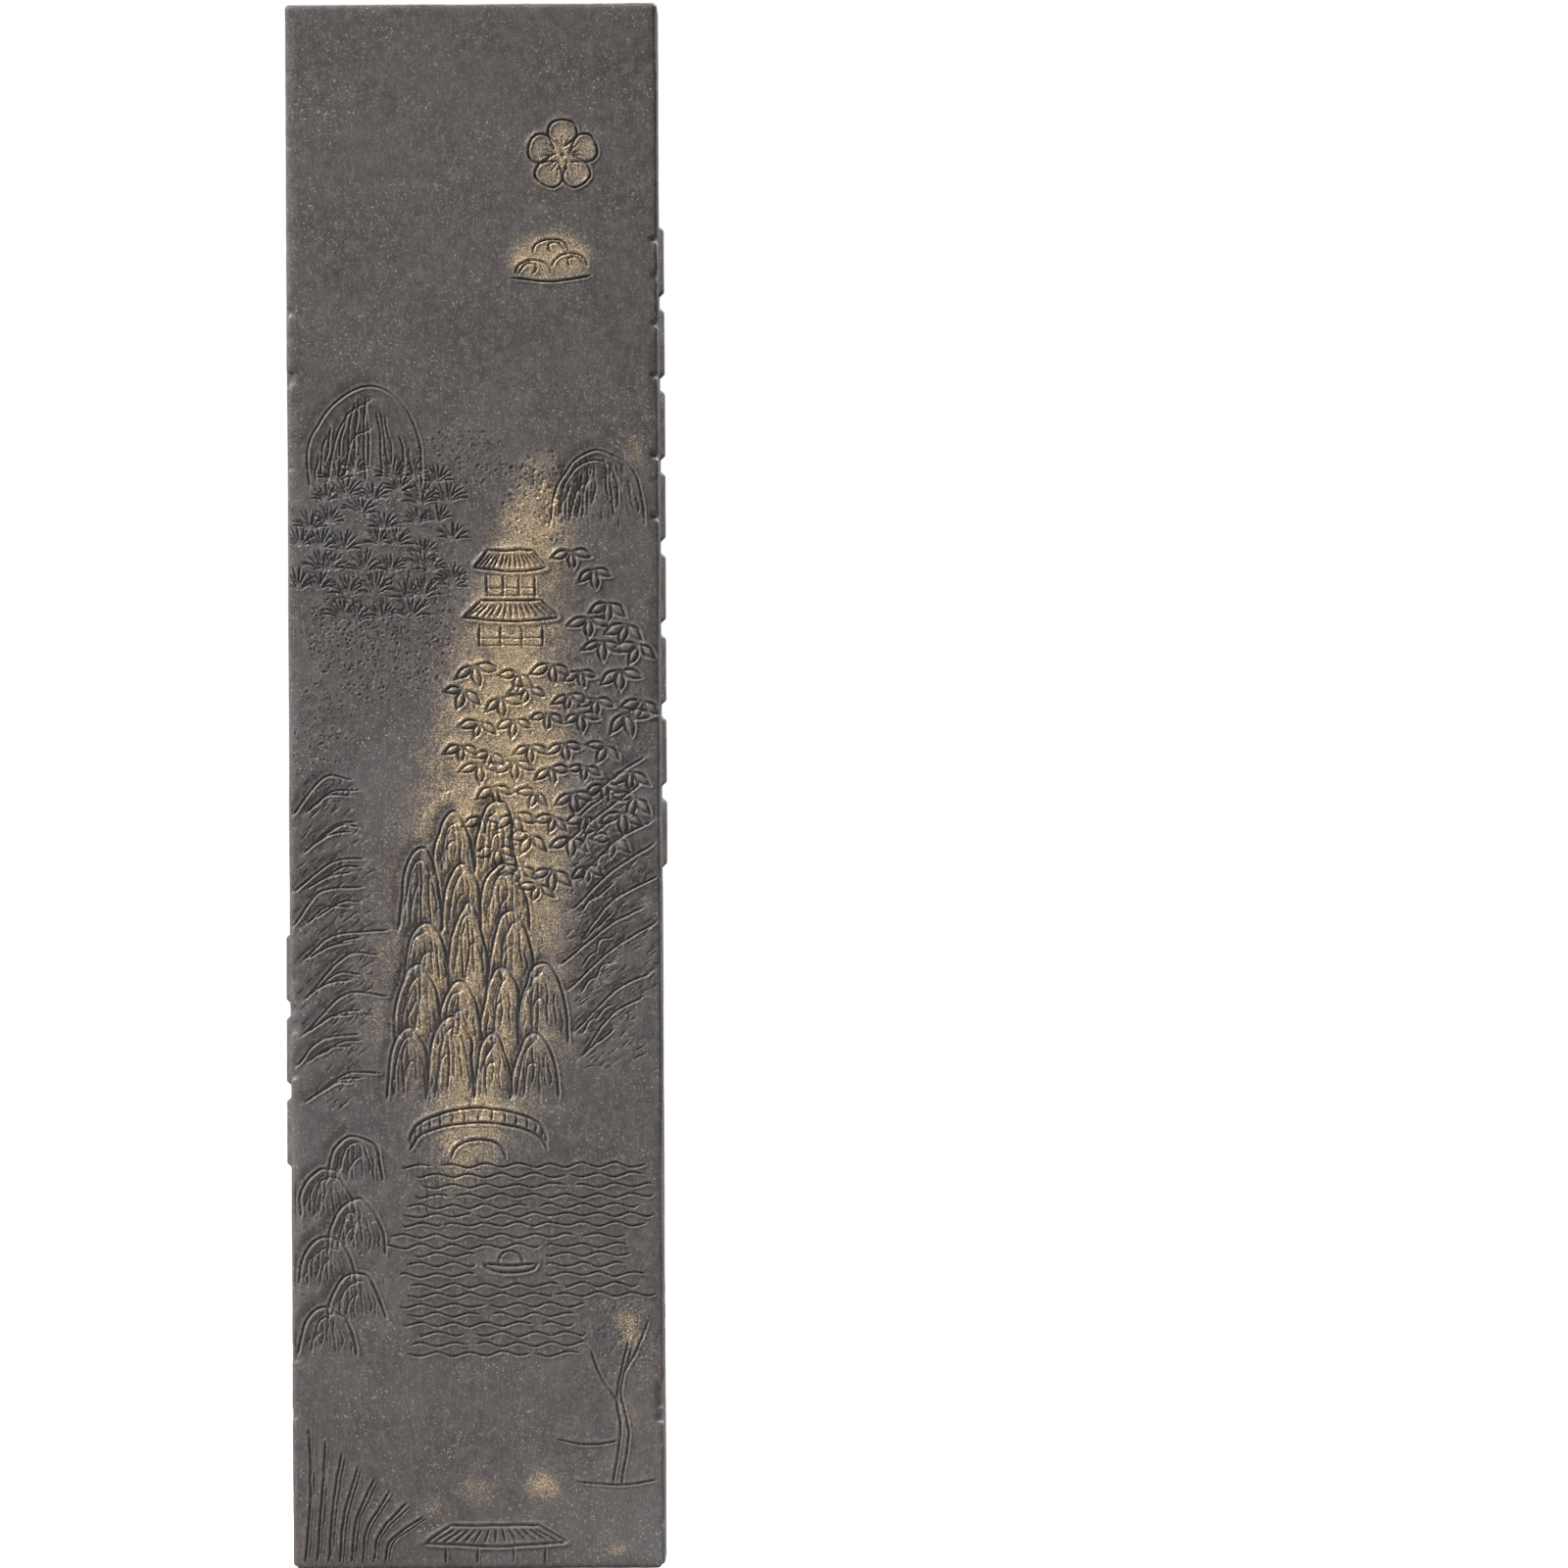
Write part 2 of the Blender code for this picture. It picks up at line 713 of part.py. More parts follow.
def main():
    clear_scene()
    parts = new_collection("ink_stick")
    cutters = new_collection("cutters")
    front_lines = new_collection("landscape_lines")
    back_lines = new_collection("orchid_lines")
    recesses = new_collection("gold_recesses")
    ink = make_material("ink", INK, 0.55, 0.0)
    gold = make_material("gold_powder", GOLD, 0.45, 0.6)
    carve_landscape(front_lines)
    carve_orchid(back_lines)
    gold_films(front_lines, back_lines, parts, recesses, gold)
    ink_body(parts, cutters, (front_lines, back_lines), recesses, ink)


main()
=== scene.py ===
"""The look of the ink stick: both carved faces, the worn edges, and the gold powder on them.

The carving is drawn as strokes in millimetres on each face, (across, up) from the face's
lower left corner as someone facing it sees it. The strokes become heights on a fine grid,
the grid becomes the closed surface of the stick, and each deposit of gold is a thin skin
that follows that surface.
"""
import math
from collections import namedtuple

import bpy
import numpy as np
from mathutils import Euler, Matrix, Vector


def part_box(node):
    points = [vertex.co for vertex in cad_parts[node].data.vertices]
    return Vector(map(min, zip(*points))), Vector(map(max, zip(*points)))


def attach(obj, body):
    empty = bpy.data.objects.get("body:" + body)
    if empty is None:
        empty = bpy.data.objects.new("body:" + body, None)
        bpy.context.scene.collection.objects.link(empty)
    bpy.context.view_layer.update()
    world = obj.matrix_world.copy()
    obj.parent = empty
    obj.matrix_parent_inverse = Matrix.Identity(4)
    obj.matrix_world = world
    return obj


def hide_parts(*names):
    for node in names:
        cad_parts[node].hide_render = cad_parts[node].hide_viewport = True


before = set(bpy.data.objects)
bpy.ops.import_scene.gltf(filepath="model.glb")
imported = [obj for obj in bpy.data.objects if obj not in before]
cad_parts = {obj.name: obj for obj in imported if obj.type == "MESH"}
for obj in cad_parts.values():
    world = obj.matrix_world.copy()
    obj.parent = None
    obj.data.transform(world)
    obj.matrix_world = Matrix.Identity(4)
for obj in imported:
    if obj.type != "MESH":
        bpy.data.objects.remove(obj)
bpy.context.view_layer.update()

body_low, body_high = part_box("ink_body")

MM = 0.001

# The block without its pads, in millimetres
PAD_RISE = 0.5
END_PAD_RISE = 0.2
WIDTH = (body_high.x - body_low.x) / MM - 2 * PAD_RISE
THICKNESS = (body_high.y - body_low.y) / MM
HEIGHT = body_high.z / MM - END_PAD_RISE
EDGE_ROUND = 0.5
FOOT_ROUND = 0.9

# Wear of the long edges: how far they are rubbed back, how deep the chips are, and how far both reach
RUB = 0.05
CHIP = 0.3
WEAR_REACH = 1.1

# Orchid face: a raised panel inside a lower border
PANEL_RISE = 0.25
PANEL_SLOPE = 0.32
BORDER_LEFT = 1.4
BORDER_RIGHT = 1.8
BORDER_TOP = 1.3
BORDER_FOOT = 1.25
PANEL_CORNER = 0.9

# Plain low pads in place of marks: columns on the narrow sides, (count, foot, top), and two on the
# upper end, (centre across, half width)
RIGHT_PADS = (8, 67.1, 128.8)
LEFT_PADS = (3, 38.5, 61.0)
PAD_GAP = 1.1
PAD_HALF = 3.0
PAD_ROUND = 0.6
END_PADS = ((8.4, 1.05), (24.4, 0.65))

# Grids: cells over the width, the thickness and the height, and the share of triangles that is kept
CELL = 0.1
ACROSS_CELLS = round(WIDTH / CELL)
DEPTH_CELLS = 52
UP_CELLS = round(HEIGHT / CELL)
SURFACE_SHARE = 0.20

# How far the landscape's ground lies behind the CAD face, how much of that is left for the gold, and
# how far inside the CAD body's box the body and the gold skins are kept
FRONT_ROOM = 0.14
GOLD_ROOM = 0.025
BODY_ROOM = 0.01
SKIN_ROOM = 0.002

# Unevenness of pressed ink: layers of noise, each (height in millimetres, rows apart, columns apart)
WAVES = ((0.012, 140, 70), (0.006, 30, 25))
GRAIN = ((0.006, 5, 5), (0.004, 2, 2))
SIDE_ROUGH = ((0.012, 90, 6), (0.005, 8, 2))
END_ROUGH = ((0.012, 12, 30), (0.006, 2, 5))
GROUND_SINK = 0.02
PANEL_SINK = 0.09
END_SINK = 0.03
FACE_FADE = 0.35

# Carving tools: half width and depth of the groove, height of the burr that it pushes up beside it,
# depth of the bank and how far the bank reaches. A bank is a broad slope that falls to the groove
# from the upper left, so that the rock there overhangs the next.
Tool = namedtuple("Tool", "half depth burr bank reach")
BOLD = Tool(0.20, 0.24, 0.10, 0.0, 0.5)
PLAIN = Tool(0.16, 0.20, 0.08, 0.0, 0.5)
FINE = Tool(0.11, 0.14, 0.05, 0.0, 0.5)
LEDGE = Tool(0.18, 0.18, 0.11, 0.34, 1.3)
FOLD = Tool(0.13, 0.14, 0.09, 0.24, 0.9)
SLOPE = Tool(0.15, 0.13, 0.08, 0.22, 1.2)
WAVE = Tool(0.15, 0.17, 0.08, 0.16, 0.8)
SCRATCH = Tool(0.10, 0.08, 0.03, 0.05, 0.4)
SHADED_SIDE = np.array((-0.66, 0.75))
STEEP_SIDE = 0.2
BURR_PLACE = 1.45
BURR_SPREAD = 0.42
BURR_REACH = 2.6
GROOVE_EDGE = 1.05
BANK_CURVE = 1.4
STROKE_STEP = 0.25
STROKE_TIP = 0.45
WOBBLE = 0.03
TINY = 1e-9

rng = np.random.default_rng(11)


# Landscape: a plain traditional picture made by rule. Rocks and peaks are (middle, foot, half width,
# height). Zones of dots, cuts and needles are ovals: (middle across, middle up, half width, half height)
PEAKS = ((7.5, 104.0, 5.6, 9.5), (29.9, 100.3, 4.6, 7.0))
PINE_ZONE = (8.2, 98.0, 9.2, 8.4)
PINE_PITCH = (2.4, 2.3)
PINE_SIZES = (1.6, 2.2)
NEEDLES = 10
NEEDLE_FAN = 78
PAVILION_MIDDLE = 21.4
PAVILION_FOOT = 88.4
PAVILION_HALF = 4.6
PAVILION_TIERS = 2
TIER_RISE = 4.8
TIER_SHRINK = 0.24
RAIL = (0.1, 0.8)
PAVILION_POSTS = (-0.66, -0.22, 0.22, 0.66)
ROOF_RISE = 2.0
RIDGE_SHARE = 0.62
EAVES_UP = 0.35
ROOF_RIBS = 13
BAMBOO_ZONE = (25.2, 81.6, 9.6, 16.4)
BAMBOO_PITCH = (3.5, 2.35)
SPRAY_SIZES = (1.7, 2.3)
SPRAY_LEAVES = ((-153, 1.0), (-27, 1.0), (-90, 0.9))
CLIFF_MIDDLE = 17.4
CLIFF_FOOT = 45.0
CLIFF_ROWS = (4, 4, 3, 3, 2)
CRAG_RISE = 5.4
CRAG_PITCH = 4.0
CRAG_HALF = 2.1
CRAG_HEIGHT = 7.0
SLOPES = 9
LEFT_SLOPES = (45.0, 3.4)
RIGHT_SLOPES = (49.0, 2.9)
BRIDGE_MIDDLE = 18.0
BRIDGE_FOOT = 40.2
BRIDGE_HALF = 6.6
BRIDGE_RISE = 3.0
BRIDGE_POSTS = 15
SHORE_ROCKS = 6
SHORE_FOOT = 20.6
SHORE_PITCH = 3.3
SHORE_COLUMN = 3.4
SHORE_SHIFT = 2.8
SHORE_SIZE = (2.7, 4.6)
BOAT = (21.0, 29.3)
BOAT_HALF = 2.6
BOAT_GAP = 3.4
WATER_LEFT = (9.2, 12.6)
WATER_RIGHT = (0.8, 4.0)
RIPPLE_FOOT = 20.6
RIPPLE_TOP = 39.4
RIPPLE_PITCH = 0.95
RIPPLE_LENGTH = 3.1
RIPPLE_SWING = 0.2
GATE_MIDDLE = 19.4
GATE_HALF = 6.8
GATE_FOOT = 2.2
GATE_POSTS = (-0.7, -0.25, 0.25, 0.7)
GRASS_BLADES = 8
FOLIAGE_ZONE = (31.6, 22.6, 3.0, 3.4)

# Tree: both sides of the trunk, two boughs and two lines of ground
TREE = (
    ((30.6, 8.4), (31.4, 13.0), (31.0, 17.0), (32.2, 22.0)),
    ((31.4, 8.4), (32.1, 13.0), (31.6, 17.0), (32.6, 21.0)),
    ((31.2, 15.8), (29.6, 18.4), (28.6, 21.0)),
    ((31.6, 19.0), (33.2, 21.0), (34.2, 24.0)),
    ((27.4, 8.2), (31.0, 8.0), (34.8, 8.3)),
    ((25.6, 12.4), (28.2, 11.8), (31.0, 12.2)),
)

# How far the raised bodies of rocks stand proud
PEAK_PROUD = 0.06
CRAG_PROUD = 0.12
BOULDER_PROUD = 0.1
BACK_PROUD = 0.08

# Zone, number of dots and their size
DOTTED = (
    ((9.0, 89.6, 7.2, 6.4), 620, 0.15),
    ((3.4, 79.4, 3.0, 6.8), 170, 0.13),
    ((24.3, 102.8, 4.0, 4.8), 150, 0.19),
    ((16.0, 106.0, 5.6, 3.6), 190, 0.13),
    ((28.6, 66.0, 3.6, 3.8), 60, 0.11),
    ((25.2, 81.6, 9.4, 15.0), 420, 0.11),
    ((7.0, 99.0, 7.0, 9.0), 260, 0.11),
    ((4.0, 29.0, 3.4, 8.6), 110, 0.11),
    ((31.6, 22.6, 3.2, 3.6), 90, 0.13),
)

# Zone, direction in degrees, spread, length and number of short cuts
HATCHED = (
    ((11.4, 56.0, 2.6, 8.0), -62, 10, 1.2, 90),
    ((21.6, 57.0, 3.0, 8.0), -78, 10, 1.0, 90),
    ((17.4, 58.0, 7.0, 15.0), -80, 12, 1.1, 420),
    ((4.4, 60.0, 3.8, 16.0), 40, 14, 1.0, 260),
    ((31.0, 60.0, 4.2, 14.0), 35, 14, 1.0, 280),
    ((29.9, 103.0, 3.6, 3.6), -75, 14, 1.0, 90),
    ((14.6, 38.0, 3.6, 4.6), -75, 14, 0.9, 90),
    ((15.6, 94.0, 2.6, 4.0), -55, 25, 0.6, 80),
    ((31.8, 22.6, 2.8, 3.4), 60, 80, 0.6, 110),
    ((6.0, 30.0, 3.6, 8.0), -60, 14, 0.9, 90),
)

# Orchid: leaves are (direction in degrees, length) from the root, and a petal's edge is
# (share of the radius outwards, share of it to the side)
ORCHID_ROOT = (16.6, 60.0)
ORCHID_LEAVES = ((106, 46.0), (86, 54.0), (68, 38.0), (128, 28.0), (148, 18.0), (46, 26.0), (24, 16.0),
                 (96, 34.0), (76, 27.0), (116, 22.0))
LOW_LEAVES = ((196, 13.0), (214, 17.0), (238, 20.0), (318, 17.0), (340, 13.0))
LEAF_SAG = 0.22
LEAF_HALF = 0.75
FLOWERS = ((8.4, 86.0), (27.0, 92.0), (26.0, 72.0))
FLOWER_RADIUS = 3.2
PETALS = 5
PETAL_EDGE = (
    (0.22, -0.04), (0.52, -0.36), (0.84, -0.3), (0.94, 0.0), (0.84, 0.3), (0.52, 0.36), (0.22, 0.04),
)
BACK_ROCKS = ((28.4, 34.0, 4.4, 13.0), (30.2, 46.5, 3.2, 9.0), (7.4, 22.0, 4.2, 6.0), (15.4, 22.0, 5.0, 9.0),
              (23.0, 22.0, 3.8, 5.6))
SMALL_LEAVES = ((15.5, 14.6), (22.6, 17.0))
SMALL_LEAF = 1.9
BACK_HATCHED = (
    ((8.0, 19.0, 3.6, 1.8), -60, 40, 0.7, 60),
    ((13.4, 14.6, 3.0, 2.2), -40, 40, 0.8, 70),
    ((24.2, 18.6, 3.8, 2.4), -50, 40, 0.8, 70),
    ((30.2, 55.0, 2.4, 8.0), 45, 20, 1.2, 70),
    ((22.0, 55.0, 3.0, 6.0), -55, 10, 1.6, 80),
    ((16.4, 25.0, 8.0, 3.0), -85, 15, 1.4, 90),
    ((29.4, 38.0, 3.0, 5.0), 70, 25, 0.9, 70),
)

BLOSSOM = "gilt_title_blossom"
BLOSSOM_NOTCH = 0.24
BLOSSOM_PETALS = 5
LOBE_STEPS = 6

# How much gold is left in the deposits that lie outside the long smear
GOLD_LEFT = {
    "gilt_title_blossom": 0.6, "gilt_title_cloud": 0.75, "gilt_peak": 0.45, "gilt_tree": 0.45,
    "gilt_tree_root": 0.35, "gilt_gate_left": 0.5, "gilt_gate_middle": 0.4, "gilt_gate_right": 0.55,
    "gilt_shore": 0.35, "gilt_leaf_left": 0.3, "gilt_leaf_right": 0.3,
}

# The long smear of gold down the landscape: (across, up, half width, amount), from the top down
GOLD_SMEAR = (
    (24.0, 108.0, 2.0, 0.0), (24.2, 101.0, 3.0, 0.85), (21.5, 93.0, 4.0, 0.8), (20.8, 84.0, 5.0, 1.0),
    (19.6, 72.0, 6.4, 1.1), (18.0, 60.0, 7.0, 0.85), (17.6, 51.0, 7.0, 0.85), (18.0, 43.0, 4.0, 0.65),
    (14.5, 33.0, 2.6, 0.0),
)
GOLD_SPREAD = 1.1
GOLD_SOFT = 1.9
RIM_WIDTH = 0.7
FAR = 99.0

# Shares of the gold taken off the banks and out of the cuts, as painted shade on the slopes that face away
# from the light and in the hollows, and how uneven the rest is
BANK_GOLD_SHADE = 0.75
CUT_GOLD_SHADE = 0.5
GOLD_SPOTS = 0.2

# Gold skins, in millimetres from the body's surface: where gold lies, where there is none, and how thick
SKIN_TOP = 0.02
SKIN_SUNK = -0.03
SKIN_THICK = 0.06


# Numbers on a grid

def smoothstep(low, high, value):
    part = np.clip((value - low) / (high - low), 0, 1)
    return part * part * (3 - 2 * part)


def spline_weights(count, spacing):
    """How much each control value of a cubic spline counts at each of `count` places."""
    places = np.arange(count) / spacing
    base = places.astype(int)
    t = places - base
    weights = np.zeros((count, base[-1] + 4))
    rows = np.arange(count)
    weights[rows, base] = (1 - t) ** 3 / 6
    weights[rows, base + 1] = (3 * t ** 3 - 6 * t ** 2 + 4) / 6
    weights[rows, base + 2] = (-3 * t ** 3 + 3 * t ** 2 + 3 * t + 1) / 6
    weights[rows, base + 3] = t ** 3 / 6
    return weights


def noise(rows, columns, row_spacing, column_spacing):
    """Smooth noise of unit spread, with features this many cells apart."""
    down = spline_weights(rows, row_spacing)
    along = spline_weights(columns, column_spacing)
    values = down @ rng.standard_normal((down.shape[1], along.shape[1])) @ along.T
    return values / values.std()


def layered(shape, layers):
    """Layers of noise added up."""
    return sum(height * noise(*shape, *spacing) for height, *spacing in layers)


def smooth_path(points, closed=False):
    """Points at even steps along a smooth curve through the given points."""
    knots = [np.array(point, dtype=float) for point in points]
    if closed:
        knots = [knots[-1], *knots, knots[0], knots[1]]
    else:
        knots = [2 * knots[0] - knots[1], *knots, 2 * knots[-1] - knots[-2]]
    path = [knots[1]]
    for before, start, end, after in zip(knots[:-3], knots[1:-2], knots[2:-1], knots[3:]):
        count = max(1, round(math.dist(start, end) / STROKE_STEP))
        for t in np.arange(1, count + 1) / count:
            path.append(
                start + (end - before) * t / 2
                + (2 * before - 5 * start + 4 * end - after) * t ** 2 / 2
                + (3 * start - before - 3 * end + after) * t ** 3 / 2
            )
    return np.array(path)


def hand_path(points):
    """A smooth curve with the small shakes of a hand-cut line."""
    path = smooth_path(points)
    places = np.arange(len(path))
    knots = np.arange(0, len(path) + 4, 4)
    shakes = rng.normal(0, WOBBLE, (2, len(knots)))
    return path + np.stack([np.interp(places, knots, shake) for shake in shakes], axis=1)


def segment_distance(u, v, step):
    """How far places are from a straight segment that starts at the origin, in millimetres."""
    along = np.clip((u * step[0] + v * step[1]) / max(step @ step, TINY), 0, 1)
    return np.hypot(u - along * step[0], v - along * step[1])


def inside_distance(outline, across, up):
    """How far inside a closed outline each place is, in millimetres; outside it is negative."""
    nearest = np.full(np.broadcast(across, up).shape, np.inf)
    inside = np.zeros(nearest.shape, dtype=bool)
    for start, end in zip(outline, np.roll(outline, -1, axis=0)):
        step = end - start
        u = across - start[0]
        v = up - start[1]
        nearest = np.minimum(nearest, segment_distance(u, v, step))
        crosses = (start[1] > up) != (end[1] > up)
        rise = step[1] if abs(step[1]) > TINY else TINY
        inside ^= crosses & (u < v * step[0] / rise)
    return np.where(inside, nearest, -nearest)


class Carving:
    """One broad face as a grid of heights, in millimetres, before it is wrapped round the stick."""

    def __init__(self):
        self.across = np.linspace(0, WIDTH, ACROSS_CELLS + 1)
        self.up = np.linspace(0, HEIGHT, UP_CELLS + 1)
        shape = (UP_CELLS + 1, ACROSS_CELLS + 1)
        self.cut, self.burr, self.bank, self.lift, self.gold = np.zeros((5, *shape))
        self.owner = np.full(shape, -1)
        self.best_inside = np.full(shape, -FAR)

    def window(self, low, high):
        """The rows and columns of the grid between two corners, and their places."""
        columns = slice(*np.searchsorted(self.across, (low[0], high[0])))
        rows = slice(*np.searchsorted(self.up, (low[1], high[1])))
        return (rows, columns), self.across[columns][None, :], self.up[rows][:, None]

    def mark(self, start, end, tool, press):
        """A short straight cut, with the burr that the tool pushed up on both sides."""
        half = tool.half * (0.5 + 0.5 * press)
        reach = max(half * BURR_REACH, tool.reach if tool.bank else 0)
        cells, u, v = self.window(np.minimum(start, end) - reach, np.maximum(start, end) + reach)
        step = end - start
        u = u - start[0]
        v = v - start[1]
        distance = segment_distance(u, v, step)
        near = distance / half
        groove = tool.depth * press * (1 - smoothstep(0, GROOVE_EDGE, near))
        self.cut[cells] = np.maximum(self.cut[cells], groove)
        ridge = tool.burr * press * np.exp(-((near - BURR_PLACE) / BURR_SPREAD) ** 2)
        self.burr[cells] = np.maximum(self.burr[cells], ridge)
        if tool.bank:
            way = np.array((-step[1], step[0])) / np.hypot(*step)
            facing = way @ SHADED_SIDE
            shaded = (u * way[0] + v * way[1]) * facing > 0
            fall = np.clip(1 - distance / np.where(shaded, tool.reach, STEEP_SIDE), 0, 1) ** BANK_CURVE
            bank = tool.bank * press * abs(facing) * fall
            self.bank[cells] = np.maximum(self.bank[cells], bank)

    def line(self, points, tool, strength=1.0):
        """A cut along a curve, thinner and shallower at its two ends."""
        path = hand_path(points)
        lengths = np.hypot(*np.diff(path, axis=0).T)
        middles = np.cumsum(lengths) - lengths / 2
        tips = np.clip(np.minimum(middles, lengths.sum() - middles) / STROKE_TIP, 0, 1)
        press = strength * (0.35 + 0.65 * tips) * rng.uniform(0.9, 1.1, len(tips))
        for start, end, weight in zip(path[:-1], path[1:], press):
            self.mark(start, end, tool, weight)

    def dot(self, place, radius, depth):
        """A round hole with a low burr."""
        place = np.array(place)
        self.mark(place, place, Tool(radius, depth, depth * 0.4, 0.0, 0.0), 1.0)

    def mass(self, outline, height, slope, fade, rooted=False):
        """A part that stands proud at its outline and sinks back inside it.

        A rooted one has no lip at its foot.
        """
        path = smooth_path(outline, closed=True)
        cells, u, v = self.window(path.min(axis=0) - slope, path.max(axis=0) + slope)
        depth = inside_distance(path, u, v)
        lift = height * smoothstep(-slope, slope, depth) * np.exp(-np.maximum(depth, 0) / fade)
        if rooted:
            foot = path[:, 1].min()
            lift = lift * smoothstep(foot, foot + 0.6 * np.ptp(path[:, 1]), v)
        self.lift[cells] += lift

    def gild(self, index, outline, amount):
        """A deposit of gold powder, thick in the middle and thin at its edges."""
        path = smooth_path(outline, closed=True)
        margin = 3 * GOLD_SPREAD
        cells, u, v = self.window(path.min(axis=0) - margin, path.max(axis=0) + margin)
        depth = inside_distance(path, u, v)
        closer = depth > self.best_inside[cells]
        self.owner[cells] = np.where(closer & (depth > -GOLD_SPREAD), index, self.owner[cells])
        self.best_inside[cells] = np.maximum(self.best_inside[cells], depth)
        amounts = amount * smoothstep(-GOLD_SPREAD, GOLD_SOFT, depth)
        self.gold[cells] = np.maximum(self.gold[cells], amounts)

    def heights(self):
        """Carving, burrs and raised parts, with the slow waves and the grain of pressed ink."""
        waves = layered(self.cut.shape, WAVES)
        grain = layered(self.cut.shape, GRAIN)
        clear = 1 - smoothstep(0.0, 0.05, self.cut)
        return self.lift + self.burr * clear - self.cut - self.bank + waves + grain

    def swath(self, middles):
        """A long smear of gold that runs down the face: each (across, up, half width, amount)."""
        across, up, half, amount = np.array(middles[::-1]).T
        middle = np.interp(self.up, up, across)[:, None]
        wide = np.interp(self.up, up, half)[:, None]
        strength = np.interp(self.up, up, amount, left=0, right=0)[:, None]
        smear = strength * np.exp(-((self.across[None, :] - middle) / wide) ** 2)
        self.gold = np.maximum(self.gold, smear)

    def read(self, values, across, up):
        """Values of a grid at any places on the face, between its points."""
        column = np.clip(across / WIDTH * ACROSS_CELLS, 0, ACROSS_CELLS - 1e-6)
        row = np.clip(up / HEIGHT * UP_CELLS, 0, UP_CELLS - 1e-6)
        i = column.astype(int)
        j = row.astype(int)
        s = column - i
        t = row - j
        lower = values[j, i] * (1 - s) + values[j, i + 1] * s
        upper = values[j + 1, i] * (1 - s) + values[j + 1, i + 1] * s
        return lower * (1 - t) + upper * t


# Drawing on the faces

def places_inside(zone, count):
    """Random places inside an oval zone, fewer towards its rim."""
    turns = rng.uniform(0, math.tau, count)
    reach = rng.uniform(0, 1, count) ** 0.62
    across = zone[0] + zone[2] * reach * np.cos(turns)
    up = zone[1] + zone[3] * reach * np.sin(turns)
    return np.stack([across, up], axis=1)


def staggered(zone, pitch):
    """Places in staggered rows inside an oval zone and inside the face, each a little off its spot."""
    places = []
    columns = round(zone[2] / pitch[0])
    rows = round(zone[3] / pitch[1])
    for row in range(-rows, rows + 1):
        for column in range(-columns - 1, columns + 1):
            across = (column + 0.5 * (row % 2)) * pitch[0] + rng.normal(0, 0.4)
            up = row * pitch[1] + rng.normal(0, 0.45)
            within = math.hypot(across / zone[2], up / zone[3]) < 1
            if within and 1.0 < zone[0] + across < WIDTH - 1.6:
                places.append((zone[0] + across, zone[1] + up))
    return places


def between(start, end, part):
    return (start[0] + (end[0] - start[0]) * part, start[1] + (end[1] - start[1]) * part)


def hatch(face, fields):
    """Zones of short cuts that mostly point one way."""
    for zone, angle, scatter, length, count in fields:
        for place in places_inside(zone, count):
            turn = math.radians(angle + rng.normal(0, scatter))
            half = length * rng.uniform(0.35, 0.65) * np.array((math.cos(turn), math.sin(turn)))
            bend = np.array((-half[1], half[0])) * rng.uniform(-0.25, 0.25)
            face.line([place - half, place + bend, place + half], SCRATCH, rng.uniform(0.6, 1.2))


def dots(face, fields):
    """Zones of small round holes."""
    for zone, count, size in fields:
        for place in places_inside(zone, count):
            face.dot(place, size * rng.uniform(0.75, 1.3), 0.1 * rng.uniform(0.6, 1.2))


def arch(middle, foot, half_wide, high, steps=6):
    """A line from foot to foot over the top of a rock, a hull or a bridge."""
    turns = [math.pi * index / steps for index in range(steps + 1)]
    return [(middle - half_wide * math.cos(turn), foot + high * math.sin(turn)) for turn in turns]


def shaken(points, amount):
    """Points moved a little, as no two hand-cut shapes are the same."""
    return [(across + rng.normal(0, amount), up + rng.normal(0, amount)) for across, up in points]


def rock(face, middle, foot, half_wide, high, tool, proud):
    """A peak, crag or boulder: a raised body, its uneven outline, and folds that run down it."""
    outline = shaken(arch(middle, foot, half_wide, high, 8), 0.05 * half_wide)
    face.mass(outline, proud, 0.3, 2.2, rooted=True)
    face.line(outline, tool)
    for share in (0.72, 0.42):
        shift = middle + rng.normal(0, 0.12) * half_wide
        inner = arch(shift, foot + 0.05 * high, half_wide * share, high * (share + 0.08))
        inner = shaken(inner, 0.1)
        face.mass(inner, proud * 0.6, 0.35, 1.2, rooted=True)
        face.line(inner[:rng.integers(4, 7)], FOLD, 0.9)
    folds = max(3, round(half_wide * 2.6))
    for index in range(folds):
        place = 2 * (index + 0.5) / folds - 1 + rng.normal(0, 0.06)
        top = high * math.sqrt(max(0.05, 1 - place * place)) * rng.uniform(0.72, 0.9)
        low = top * rng.uniform(0.02, 0.4)
        points = []
        for part in (0.0, 0.3, 0.6, 1.0):
            up = top + (low - top) * part
            wide = 0.92 * half_wide * math.sqrt(max(0.03, 1 - (up / high) ** 2))
            points.append((middle + place * wide + 0.1 * math.sin(7.0 * part + 2.0 * index), foot + up))
        face.line(points, FOLD, rng.uniform(0.7, 1.1))


def pine(face, across, up, length):
    """A spray of pine needles: a fan of fine cuts that opens upwards."""
    for index in range(NEEDLES):
        turn = math.radians(-NEEDLE_FAN + 2 * NEEDLE_FAN * index / (NEEDLES - 1) + rng.normal(0, 4))
        reach = length * rng.uniform(0.85, 1.05) * (1 - 0.12 * abs(math.sin(turn)))
        way = np.array((math.sin(turn), math.cos(turn)))
        base = np.array((across, up)) + way * length * 0.1
        bend = np.array((way[1], -way[0])) * length * 0.1 * math.sin(turn)
        face.line([base, base + way * reach * 0.5 - bend, base + way * reach], FINE, 1.2)


